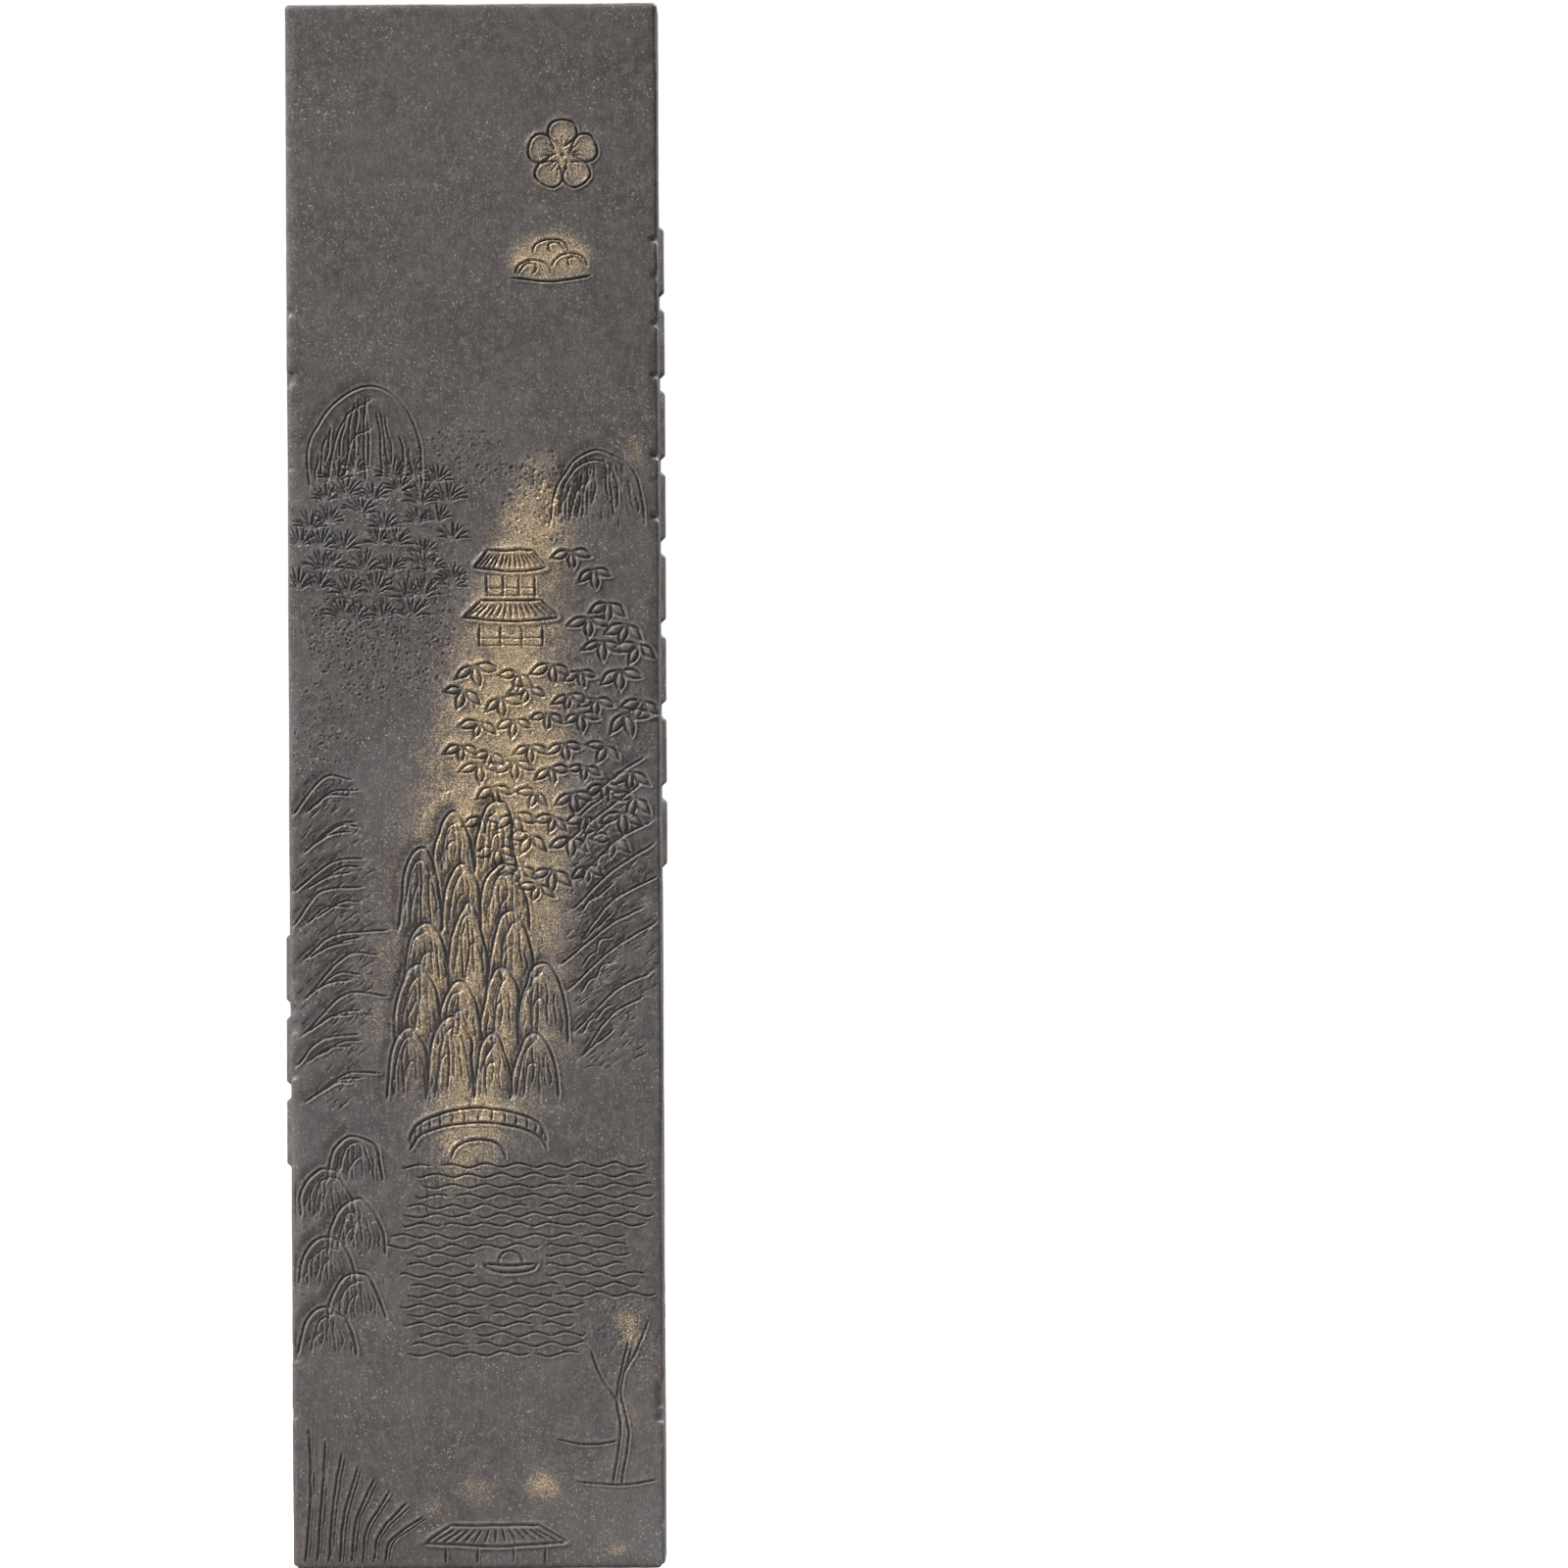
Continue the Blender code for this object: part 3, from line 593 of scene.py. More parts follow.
def leaf(face, base, tip, plump):
    """A bamboo leaf: two curved cuts that meet in a point, and the raised blade between them."""
    base = np.array(base, dtype=float)
    tip = np.array(tip, dtype=float)
    side = np.array((tip[1] - base[1], base[0] - tip[0])) * plump
    middle = base + (tip - base) * 0.45
    face.line([base, middle + side, tip], BOLD)
    face.line([base, middle - side, tip], BOLD)
    face.mass([base, middle + side, tip, middle - side], 0.10, 0.12, 9.0)


def leaf_spray(face, across, up, size):
    """Three leaves from one point: one drooping to each side, one hanging between them."""
    lean = rng.normal(0, 13)
    for angle, share in SPRAY_LEAVES:
        turn = math.radians(angle + lean + rng.normal(0, 6))
        way = np.array((math.cos(turn), math.sin(turn)))
        base = np.array((across, up)) + 0.1 * size * way
        leaf(face, base, base + way * size * share * rng.uniform(0.9, 1.1), 0.19)


def roof(face, middle, foot, half_wide, rise):
    """A roof with upturned eaves: ridge, eaves, two hips and the ribs between them."""
    ridge = half_wide * RIDGE_SHARE
    top = foot + rise
    tip = foot + EAVES_UP
    slab = [
        (middle - ridge, top), (middle + ridge, top), (middle + half_wide, foot), (middle - half_wide, foot),
    ]
    face.mass(slab, 0.08, 0.2, 3.0)
    face.line([(middle - half_wide, tip), (middle, foot), (middle + half_wide, tip)], BOLD)
    face.line([(middle - ridge, top), (middle, top), (middle + ridge, top)], BOLD)
    for side in (-1, 1):
        face.line([(middle + side * ridge, top), (middle + side * half_wide, tip)], BOLD)
    for index in range(ROOF_RIBS):
        place = 2 * (index + 0.5) / ROOF_RIBS - 1
        upper = (middle + ridge * place, top - 0.4)
        lower = (middle + half_wide * place * 0.96, foot + 0.4)
        face.line([upper, lower], PLAIN)


def pavilion(face):
    """Tiers of roof on posts, each tier smaller than the one below it, with a rail between the posts."""
    for tier in range(PAVILION_TIERS):
        half_wide = PAVILION_HALF * (1 - TIER_SHRINK * tier)
        foot = PAVILION_FOOT + TIER_RISE * tier
        eaves = foot + TIER_RISE - ROOF_RISE - 0.4
        roof(face, PAVILION_MIDDLE, eaves, half_wide, ROOF_RISE)
        for place in PAVILION_POSTS:
            across = PAVILION_MIDDLE + half_wide * place
            face.line([(across, eaves - 0.4), (across, foot)], PLAIN)
        reach = half_wide * 0.7
        for up in RAIL:
            face.line([(PAVILION_MIDDLE - reach, foot + up), (PAVILION_MIDDLE + reach, foot + up)], FINE)


def cliff(face):
    """Crags in staggered rows that narrow towards the top, the nearer rows over the farther ones."""
    for row, count in reversed(list(enumerate(CLIFF_ROWS))):
        for index in range(count):
            middle = CLIFF_MIDDLE + CRAG_PITCH * (index - (count - 1) / 2) + 0.9 * math.sin(1.7 * row)
            half_wide = CRAG_HALF + 0.25 * math.sin(2.3 * index + row)
            high = CRAG_HEIGHT + 1.1 * math.sin(1.9 * index + 2.7 * row)
            rock(face, middle, CLIFF_FOOT + CRAG_RISE * row, half_wide, high, LEDGE, CRAG_PROUD)


def slope_line(face, foot, head, sag, tool):
    """A line of a hillside from its foot to its head, bowed upwards."""
    middle = between(foot, head, rng.uniform(0.4, 0.6))
    bow = shaken([(middle[0], middle[1] + sag)], 0.2)
    face.line([foot, *bow, head], tool)


def slopes(face):
    """Hillsides that rise from both edges: long lines, each with shorter ones beside it."""
    for index in range(SLOPES):
        left = LEFT_SLOPES[0] + LEFT_SLOPES[1] * index + rng.normal(0, 0.3)
        right = RIGHT_SLOPES[0] + RIGHT_SLOPES[1] * index + rng.normal(0, 0.3)
        foot = (rng.uniform(0.4, 1.6), left)
        head = (rng.uniform(5.8, 9.6), left + rng.uniform(2.6, 4.2))
        slope_line(face, foot, head, rng.uniform(0.8, 1.9), SLOPE)
        foot = (WIDTH - rng.uniform(0.4, 2.0), right + rng.uniform(4.8, 6.4))
        head = (rng.uniform(25.4, 28.4), right)
        slope_line(face, foot, head, rng.uniform(0.3, 1.2), SLOPE)
        for part in (0.3, 0.6):
            low = left + LEFT_SLOPES[1] * part * 0.5 - 0.2
            slope_line(face, (1.0 + 2.6 * part, low), (5.0 + 3.0 * part, low + 1.5), 0.6, FOLD)
            low = right + 4.2 * part
            slope_line(face, (27.8 + 5.4 * part, low), (26.6 + 4.6 * part, low - 1.5), 0.3, FOLD)


def shore(face):
    """Boulders up the left edge, in two staggered columns."""
    for index in range(SHORE_ROCKS):
        middle = SHORE_COLUMN + SHORE_SHIFT * (index % 2)
        rock(face, middle, SHORE_FOOT + SHORE_PITCH * index, *SHORE_SIZE, LEDGE, BOULDER_PROUD)


def bridge(face):
    """An arched bridge: rail, deck, the opening under it, and posts between the rail and the deck."""
    deck_rise = BRIDGE_RISE - 0.4
    for shift, half_wide, rise in (
        (1.0, BRIDGE_HALF, BRIDGE_RISE), (0.0, BRIDGE_HALF, deck_rise),
        (-0.8, BRIDGE_HALF * 0.4, BRIDGE_RISE * 0.6),
    ):
        face.line(arch(BRIDGE_MIDDLE, BRIDGE_FOOT + shift, half_wide, rise), BOLD)
    for index in range(BRIDGE_POSTS):
        turn = math.pi * (index + 1) / (BRIDGE_POSTS + 1)
        across = BRIDGE_MIDDLE - BRIDGE_HALF * math.cos(turn)
        deck = BRIDGE_FOOT + deck_rise * math.sin(turn)
        face.line([(across, deck + 0.1), (across, deck + 1.1)], PLAIN)


def boat(face):
    """A small boat: hull, deck and canopy."""
    across, up = BOAT
    face.line(arch(across, up, BOAT_HALF, -0.9), BOLD)
    face.line([(across - BOAT_HALF, up), (across, up - 0.15), (across + BOAT_HALF, up)], BOLD)
    face.line(arch(across, up, 1.2, 1.2), PLAIN)


def ripple(face, start, end, up, turned):
    """A line of water. Neighbours swing against each other, which leaves lens shapes between them."""
    half_wave = RIPPLE_LENGTH / 2
    points = [(start, up)]
    for index in range(math.ceil(start / half_wave), math.floor(end / half_wave) + 1):
        swing = RIPPLE_SWING * rng.uniform(0.7, 1.2) * (1 if (index + turned) % 2 else -1)
        points.append((index * half_wave, up + swing))
    points.append((end, up))
    face.line(points, WAVE)


def water(face):
    """Rows of ripples between the shore rocks and the right edge, each broken once, or by the boat."""
    for row in range(round((RIPPLE_TOP - RIPPLE_FOOT) / RIPPLE_PITCH)):
        up = RIPPLE_FOOT + RIPPLE_PITCH * row + rng.normal(0, 0.05)
        start = rng.uniform(*WATER_LEFT)
        end = WIDTH - rng.uniform(*WATER_RIGHT)
        if up < FOLIAGE_ZONE[1] + FOLIAGE_ZONE[3]:
            end = FOLIAGE_ZONE[0] - FOLIAGE_ZONE[2] - rng.uniform(0.2, 2.0)
        gap = rng.uniform(start + 3, end - 3)
        half_gap = rng.uniform(0.15, 0.6)
        if abs(up - BOAT[1]) < 1.2:
            gap = BOAT[0]
            half_gap = BOAT_GAP
        ripple(face, start, gap - half_gap, up, row % 2)
        ripple(face, gap + half_gap, end, up, row % 2)


def gate(face):
    """A roof on four short posts at the foot of the picture."""
    roof(face, GATE_MIDDLE, GATE_FOOT, GATE_HALF, ROOF_RISE)
    for place in GATE_POSTS:
        across = GATE_MIDDLE + GATE_HALF * place
        face.line([(across, GATE_FOOT - 0.2), (across, 0.7)], PLAIN)


def grass(face):
    """Long blades that lean away from the lower left corner."""
    for index in range(GRASS_BLADES):
        foot = 1.2 + 1.1 * index
        high = 13.5 - 1.2 * index
        points = [(foot, 0.8), (foot + 0.5, high * 0.55), (foot + 0.4 + 0.45 * index, high)]
        face.line(points, PLAIN)
        face.line([(across + 0.3, up * 0.96) for across, up in points], FINE)


def tree(face):
    """A trunk with both its sides, two boughs, and the ground that it stands on."""
    for points in TREE:
        face.line(shaken(points, 0.12), PLAIN)


def oval(zone, steps=10):
    """An oval outline, anticlockwise."""
    turns = [math.tau * index / steps for index in range(steps)]
    return [(zone[0] + zone[2] * math.cos(turn), zone[1] + zone[3] * math.sin(turn)) for turn in turns]


def node_zone(node, front):
    """Where a CAD deposit lies on its face: middle across, middle up, half width and half height."""
    low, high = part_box(node)
    middle = (low + high) / (2 * MM)
    half = (high - low) / (2 * MM)
    return (WIDTH / 2 + (middle.x if front else -middle.x), middle.z, half.x, half.z)


def gold_nodes(front):
    """The deposits of one face, in the frame's order."""
    names = [name for name in sorted(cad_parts) if name.startswith("gilt_")]
    return [name for name in names if (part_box(name)[0].y < 0) == front]


def blossom_outline():
    """A five-lobed flower, in place of the title."""
    zone = node_zone(BLOSSOM, True)
    steps = BLOSSOM_PETALS * LOBE_STEPS
    turns = np.arange(steps) * math.tau / steps
    lobes = np.abs(np.cos(turns * BLOSSOM_PETALS / 2))
    radii = zone[2] * (1 - BLOSSOM_NOTCH * (1 - lobes))
    return list(zip(zone[0] - radii * np.sin(turns), zone[1] + radii * np.cos(turns)))


def petals(face, middle, radius, tool):
    """Five petals round a middle, with stamens."""
    middle = np.array(middle, dtype=float)
    for index in range(PETALS):
        turn = math.tau * index / PETALS
        out = np.array((-math.sin(turn), math.cos(turn))) * radius
        side = np.array((out[1], -out[0]))
        face.line([middle + out * outward + side * aside for outward, aside in PETAL_EDGE], tool)
        for lean in (-0.18, 0.0, 0.18):
            tip = middle + out * 0.5 + side * lean
            face.line([middle + out * 0.15, tip], FINE, 0.8)
            face.dot(tip, 0.14, 0.1)
    face.dot(middle, 0.3, 0.14)


def cloud(face):
    """Scrolled cloud bands under the flower, each an arch that curls in at its end, and a base line."""
    across, up, half_wide, half_high = node_zone("gilt_title_cloud", True)
    for shift, place, side in ((-0.4, -0.35, -1), (0.45, -0.1, 1), (0.0, 0.45, 1)):
        middle = across + shift * half_wide
        foot = up + (place - 0.25) * half_high
        curl = []
        for index in range(5):
            turn = 0.9 * index
            reach = side * (1.5 - 0.42 * index)
            rise = 1.3 - 0.25 * index
            curl.append((middle + reach * math.cos(turn), foot + rise * math.sin(turn)))
        face.line(arch(middle, foot, 1.7, 1.2), PLAIN)
        face.line(curl, PLAIN)
    face.line([(across - half_wide * 0.9, up - half_high * 0.8), (across, up - half_high * 0.92),
               (across + half_wide * 0.9, up - half_high * 0.75)], PLAIN)


def carve_front():
    """The landscape face, from the ground's texture to the title's place."""
    face = Carving()
    hatch(face, HATCHED)
    dots(face, DOTTED)
    for peak in PEAKS:
        rock(face, *peak, SLOPE, PEAK_PROUD)
    for place in staggered(PINE_ZONE, PINE_PITCH):
        pine(face, *place, rng.uniform(*PINE_SIZES))
    for place in staggered(BAMBOO_ZONE, BAMBOO_PITCH):
        beside_pavilion = abs(place[0] - PAVILION_MIDDLE) > PAVILION_HALF + 1
        if beside_pavilion or place[1] < PAVILION_FOOT:
            leaf_spray(face, *place, rng.uniform(*SPRAY_SIZES))
    for part in (pavilion, cliff, slopes, shore, bridge, boat, water, gate, grass, tree, cloud):
        part(face)
    zone = node_zone(BLOSSOM, True)
    petals(face, zone[:2], zone[2], PLAIN)
    return face


def orchid_leaf(face, angle, length):
    """A long leaf that bends under its weight: two edges that meet, a raised blade and a midrib."""
    across, up = ORCHID_ROOT
    turn = math.radians(angle)
    edges = []
    for side in (-1, 1):
        points = []
        for part in np.linspace(0.04, 1, 8):
            wide = side * LEAF_HALF * math.sin(math.pi * part ** 0.8)
            points.append((
                across + length * part * math.cos(turn) * (1 - 0.2 * part) - wide * math.sin(turn),
                up + length * part * math.sin(turn) - LEAF_SAG * length * part ** 2 + wide * math.cos(turn),
            ))
        edges.append(points)
        face.line(points, BOLD)
    face.mass(edges[0] + edges[1][-2::-1], 0.07, 0.3, 4.0)
    face.line([between(low, high, 0.5) for low, high in zip(*edges)][1:-1], FINE, 0.7)


def carve_back():
    """The orchid face."""
    face = Carving()
    hatch(face, BACK_HATCHED)
    for place in BACK_ROCKS:
        rock(face, *place, SLOPE, BACK_PROUD)
    for angle, length in ORCHID_LEAVES + LOW_LEAVES:
        orchid_leaf(face, angle, length)
    for place in FLOWERS:
        petals(face, place, FLOWER_RADIUS, PLAIN)
    for place in SMALL_LEAVES:
        leaf_spray(face, *place, SMALL_LEAF)
    return face


def gild(face, front):
    """Lay the gold of one face where the CAD has it, and name the deposits."""
    names = gold_nodes(front)
    for index, name in enumerate(names):
        outline = blossom_outline() if name == BLOSSOM else oval(node_zone(name, front))
        face.gild(index, outline, GOLD_LEFT.get(name, 0.0))
    if front:
        face.swath(GOLD_SMEAR)
    return names


# The stick's surface

def panel_height(across, up):
    """The orchid face's raised panel: 1 on it, 0 on the border round it."""
    low = np.array((BORDER_LEFT, BORDER_FOOT)) + PANEL_CORNER
    high = np.array((WIDTH - BORDER_RIGHT, HEIGHT - BORDER_TOP)) - PANEL_CORNER
    beyond_across = np.maximum(np.maximum(low[0] - across, across - high[0]), 0)
    beyond_up = np.maximum(np.maximum(low[1] - up, up - high[1]), 0)
    beyond = np.hypot(beyond_across, beyond_up)
    return 1 - smoothstep(PANEL_CORNER - PANEL_SLOPE / 2, PANEL_CORNER + PANEL_SLOPE / 2, beyond)


def pad_height(across, along, pads, rise):
    """Plain pads: each (centre across, centre along, half width, half length)."""
    result = np.zeros(np.broadcast(across, along).shape)
    for centre_across, centre_along, half_wide, half_long in pads:
        beyond = np.hypot(
            np.maximum(abs(across - centre_across) - half_wide + PAD_ROUND, 0),
            np.maximum(abs(along - centre_along) - half_long + PAD_ROUND, 0),
        )
        result = np.maximum(result, rise * (1 - smoothstep(0.1, PAD_ROUND + 0.1, beyond)))
    return result


def pad_column(count, foot, top):
    """Pads one above another on a narrow side, with even gaps."""
    pitch = (top - foot + PAD_GAP) / count
    half = (pitch - PAD_GAP) / 2
    return [(0, foot + pitch * index + half, PAD_HALF, half) for index in range(count)]


def stick_surface(front_heights, back_heights):
    """Wrap the heights round the stick: a ring of columns at every level, and a grid on each end."""
    half = WIDTH / 2
    depth_low = -THICKNESS / 2 + FRONT_ROOM
    depth_high = THICKNESS / 2 - PANEL_RISE
    across = np.linspace(-half, half, ACROSS_CELLS + 1)
    depth = np.linspace(depth_low, depth_high, DEPTH_CELLS + 1)
    level = np.linspace(0, HEIGHT, UP_CELLS + 1)
    ring = np.concatenate([
        np.stack([across[:-1], np.full(ACROSS_CELLS, depth_low)], axis=1),
        np.stack([np.full(DEPTH_CELLS, half), depth[:-1]], axis=1),
        np.stack([across[:0:-1], np.full(ACROSS_CELLS, depth_high)], axis=1),
        np.stack([np.full(DEPTH_CELLS, -half), depth[:0:-1]], axis=1),
    ])
    round_count = len(ring)
    sides_out = side_heights(depth, level)
    out = np.concatenate([
        front_heights[:, :-1], sides_out[0][:, :-1], back_heights[:, :-1], sides_out[1][:, :0:-1],
    ], axis=1) - edge_wear(ring, level)
    walls = np.empty((len(level), round_count, 3))
    walls[:, :, :2] = ring
    walls[:, :, 2] = level[:, None]
    ends = []
    ends_out = []
    for z in (0, HEIGHT):
        end = np.empty((DEPTH_CELLS - 1, ACROSS_CELLS - 1, 3))
        end[:, :, 0] = across[1:-1]
        end[:, :, 1] = depth[1:-1, None]
        end[:, :, 2] = z
        ends.append(end)
        ends_out.append(end_heights(end, z))
    points = np.concatenate([walls.reshape(-1, 3)] + [end.reshape(-1, 3) for end in ends])
    out = np.concatenate([out.ravel()] + [end.ravel() for end in ends_out])
    low = np.array((-half, depth_low, 0))
    high = np.array((half, depth_high, HEIGHT))
    core = np.clip(points, low + EDGE_ROUND, high - EDGE_ROUND)
    away = points - core
    away /= np.linalg.norm(away, axis=1)[:, None]
    return core + away * (EDGE_ROUND + out)[:, None]


def worn(count):
    """Wear at evenly spaced places along one edge, in millimetres: a slow rub and a few chips."""
    rub = noise(count, 2, 5 / CELL, 2)[:, 0]
    chip = noise(count, 2, 0.8 / CELL, 2)[:, 0]
    return np.maximum(RUB * (1 + rub), 0) + CHIP * smoothstep(1.5, 2.6, chip)


def edge_wear(ring, level):
    """How far the four long edges are worn back, for every place of the ring at every level."""
    from_side = WIDTH / 2 - np.abs(ring[:, 0])
    from_face = np.minimum(ring[:, 1] - ring[:, 1].min(), ring[:, 1].max() - ring[:, 1])
    near = 1 - smoothstep(0.3, WEAR_REACH, np.maximum(from_side, from_face))
    corner = 2 * (ring[:, 1] > ring[:, 1].mean()) + (ring[:, 0] > 0)
    wear = np.stack([worn(len(level)) for _ in range(4)], axis=1)[:, corner]
    inside = smoothstep(0, 1.5, np.minimum(level, HEIGHT - level))
    return wear * near * inside[:, None]


def side_heights(depth, level):
    """The two narrow sides, in the order of the ring: the +X side, then the -X side."""
    middle = (depth[0] + depth[-1]) / 2
    result = []
    for pads in (pad_column(*RIGHT_PADS), pad_column(*LEFT_PADS)):
        raised = pad_height(depth[None, :] - middle, level[:, None], pads, PAD_RISE - GROUND_SINK)
        rough = layered(raised.shape, SIDE_ROUGH) - GROUND_SINK
        inset = np.minimum(depth - depth[0], depth[-1] - depth)
        result.append(raised + rough * smoothstep(0, 1.0, inset)[None, :])
    return result


def end_heights(end, z):
    """The foot, plain and worn, or the upper end with its two low pads."""
    rough = layered(end.shape[:2], END_ROUGH) - END_SINK
    if z == 0:
        return rough
    pads = [(across - WIDTH / 2, -PANEL_RISE / 2, half, PAD_HALF) for across, half in END_PADS]
    return rough + pad_height(end[:, :, 0], end[:, :, 1], pads, END_PAD_RISE - GROUND_SINK)


def stick_faces():
    """Quads of the surface, all facing outwards."""
    round_count = 2 * (ACROSS_CELLS + DEPTH_CELLS)
    ring = np.arange((UP_CELLS + 1) * round_count).reshape(UP_CELLS + 1, round_count)
    beside = np.roll(ring, -1, axis=1)
    quads = [np.stack([ring[:-1], beside[:-1], beside[1:], ring[1:]], axis=-1).reshape(-1, 4)]
    first_free = ring.size
    for level, upper in ((0, False), (UP_CELLS, True)):
        grid = np.empty((DEPTH_CELLS + 1, ACROSS_CELLS + 1), dtype=int)
        inner = (DEPTH_CELLS - 1) * (ACROSS_CELLS - 1)
        grid[1:-1, 1:-1] = first_free + np.arange(inner).reshape(DEPTH_CELLS - 1, ACROSS_CELLS - 1)
        first_free += inner
        edge = np.append(ring[level], ring[level, 0])
        grid[0, :] = edge[:ACROSS_CELLS + 1]
        grid[:, -1] = edge[ACROSS_CELLS:ACROSS_CELLS + DEPTH_CELLS + 1]
        grid[-1, :] = edge[ACROSS_CELLS + DEPTH_CELLS:2 * ACROSS_CELLS + DEPTH_CELLS + 1][::-1]
        grid[:, 0] = edge[2 * ACROSS_CELLS + DEPTH_CELLS:][::-1]
        quad = np.stack([grid[:-1, :-1], grid[:-1, 1:], grid[1:, 1:], grid[1:, :-1]], axis=-1).reshape(-1, 4)
        quads.append(quad if upper else quad[:, ::-1])
    return np.concatenate(quads)


def fitted(heights, most):
    """Heights that fade out at the face's edges and stay under the CAD face."""
    rows, columns = heights.shape
    across = np.minimum(np.arange(columns), np.arange(columns)[::-1]) * CELL
    up = np.minimum(np.arange(rows), np.arange(rows)[::-1]) * CELL
    fade = smoothstep(0, FACE_FADE, across)[None, :] * smoothstep(0, FACE_FADE, up)[:, None]
    return np.minimum(heights * fade, most)


def round_foot(points):
    """Round the foot's two narrow corners, seen from the broad faces."""
    half = WIDTH / 2
    beyond = np.abs(points[:, 0]) - (half - FOOT_ROUND)
    below = FOOT_ROUND - points[:, 2]
    corner = (beyond > 0) & (below > 0)
    squeeze = np.maximum(beyond[corner], below[corner]) / np.hypot(beyond[corner], below[corner])
    side = np.sign(points[corner, 0])
    points[corner, 0] = side * (half - FOOT_ROUND + beyond[corner] * squeeze)
    points[corner, 2] = FOOT_ROUND - below[corner] * squeeze
    return points


def boxed(points, room):
    """Points kept inside the CAD body's box, with a little room to spare."""
    return np.clip(points, np.array(body_low) / MM + room, np.array(body_high) / MM - room)


def mesh_from_arrays(name, points, polygons):
    """A mesh from an array of points in millimetres and an array of polygons of one size."""
    mesh = bpy.data.meshes.new(name)
    sides = polygons.shape[1]
    mesh.vertices.add(len(points))
    mesh.vertices.foreach_set("co", (points * MM).astype(np.float32).ravel())
    mesh.loops.add(polygons.size)
    mesh.loops.foreach_set("vertex_index", polygons.astype(np.int32).ravel())
    mesh.polygons.add(len(polygons))
    mesh.polygons.foreach_set("loop_start", np.arange(len(polygons), dtype=np.int32) * sides)
    mesh.update(calc_edges=True)
    mesh.validate()
    mesh.polygons.foreach_set("use_smooth", np.ones(len(mesh.polygons), dtype=bool))
    return mesh


def add_object(name, mesh):
    item = bpy.data.objects.new(name, mesh)
    bpy.context.scene.collection.objects.link(item)
    return item


def thinned(item, share):
    """Keep only the triangles that the shape needs."""
    modifier = item.modifiers.new("Share", "DECIMATE")
    modifier.ratio = share
    modifier.use_collapse_triangulate = True
    graph = bpy.context.evaluated_depsgraph_get()
    mesh = bpy.data.meshes.new_from_object(item.evaluated_get(graph))
    item.modifiers.clear()
    item.data = mesh
    return mesh


def read_vectors(source, field):
    """Three numbers for each element, such as its place or its normal."""
    values = np.empty(len(source) * 3, dtype=np.float32)
    source.foreach_get(field, values)
    return values.reshape(-1, 3).astype(float)


def read_triangles(mesh):
    corners = np.empty(len(mesh.loops), dtype=np.int32)
    mesh.loops.foreach_get("vertex_index", corners)
    return corners.reshape(-1, 3)


def face_places(points, front):
    """Where points of the stick lie on a broad face, (across, up)."""
    across = WIDTH / 2 + (points[:, 0] if front else -points[:, 0])
    return across, points[:, 2]


def sample(faces, field, points):
    """Read a grid of both faces at points on the stick."""
    on_front, on_back = (
        face.read(getattr(face, field), *face_places(points, front))
        for face, front in zip(faces, (True, False))
    )
    return np.where(points[:, 1] < 0, on_front, on_back)


def set_attribute(mesh, name, values):
    attribute = mesh.attributes.new(name, "FLOAT", "POINT")
    attribute.data.foreach_set("value", values.astype(np.float32))


def edge_nearness(points):
    """1 on the stick's rounded edges, 0 from about a millimetre inside them."""
    half = np.array((WIDTH / 2, THICKNESS / 2, HEIGHT / 2))
    inset = np.sort(half - np.abs(points - np.array((0, 0, HEIGHT / 2))), axis=1)
    return 1 - smoothstep(0.25, 1.1, inset[:, 1])


# Gold skins

def skin(name, points, normals, triangles, thick):
    """A closed thin piece over some of the stick's triangles, sunk into the stick where gold is thin."""
    triangles = without_pinches(triangles)
    used, corners = np.unique(triangles, return_inverse=True)
    corners = corners.reshape(-1, 3)
    lift = SKIN_SUNK + (SKIN_TOP - SKIN_SUNK) * smoothstep(0.03, 0.2, thick[used])
    top = points[used] + normals[used] * lift[:, None]
    foot = top - normals[used] * SKIN_THICK
    edges = boundary_edges(corners)
    below = len(used)
    walls = np.concatenate([
        np.stack([edges[:, 1], edges[:, 0], edges[:, 0] + below], axis=1),
        np.stack([edges[:, 1], edges[:, 0] + below, edges[:, 1] + below], axis=1),
    ])
    polygons = np.concatenate([corners, corners[:, ::-1] + below, walls])
    mesh = mesh_from_arrays(name, boxed(np.concatenate([top, foot]), SKIN_ROOM), polygons)
    return mesh, np.concatenate([used, used])


def boundary_edges(triangles):
    """Edges that only one triangle has, in that triangle's direction."""
    edges = np.concatenate([triangles[:, [0, 1]], triangles[:, [1, 2]], triangles[:, [2, 0]]])
    keys = np.sort(edges, axis=1)
    _, place, count = np.unique(keys, axis=0, return_inverse=True, return_counts=True)
    return edges[count[place.ravel()] == 1]


def without_pinches(triangles):
    """Drop triangles at points where two parts of the boundary touch, so that the skin closes cleanly."""
    while True:
        starts, counts = np.unique(boundary_edges(triangles)[:, 0], return_counts=True)
        pinched = starts[counts > 1]
        if not len(pinched):
            return triangles
        triangles = triangles[~np.isin(triangles, pinched).any(axis=1)]


# Materials

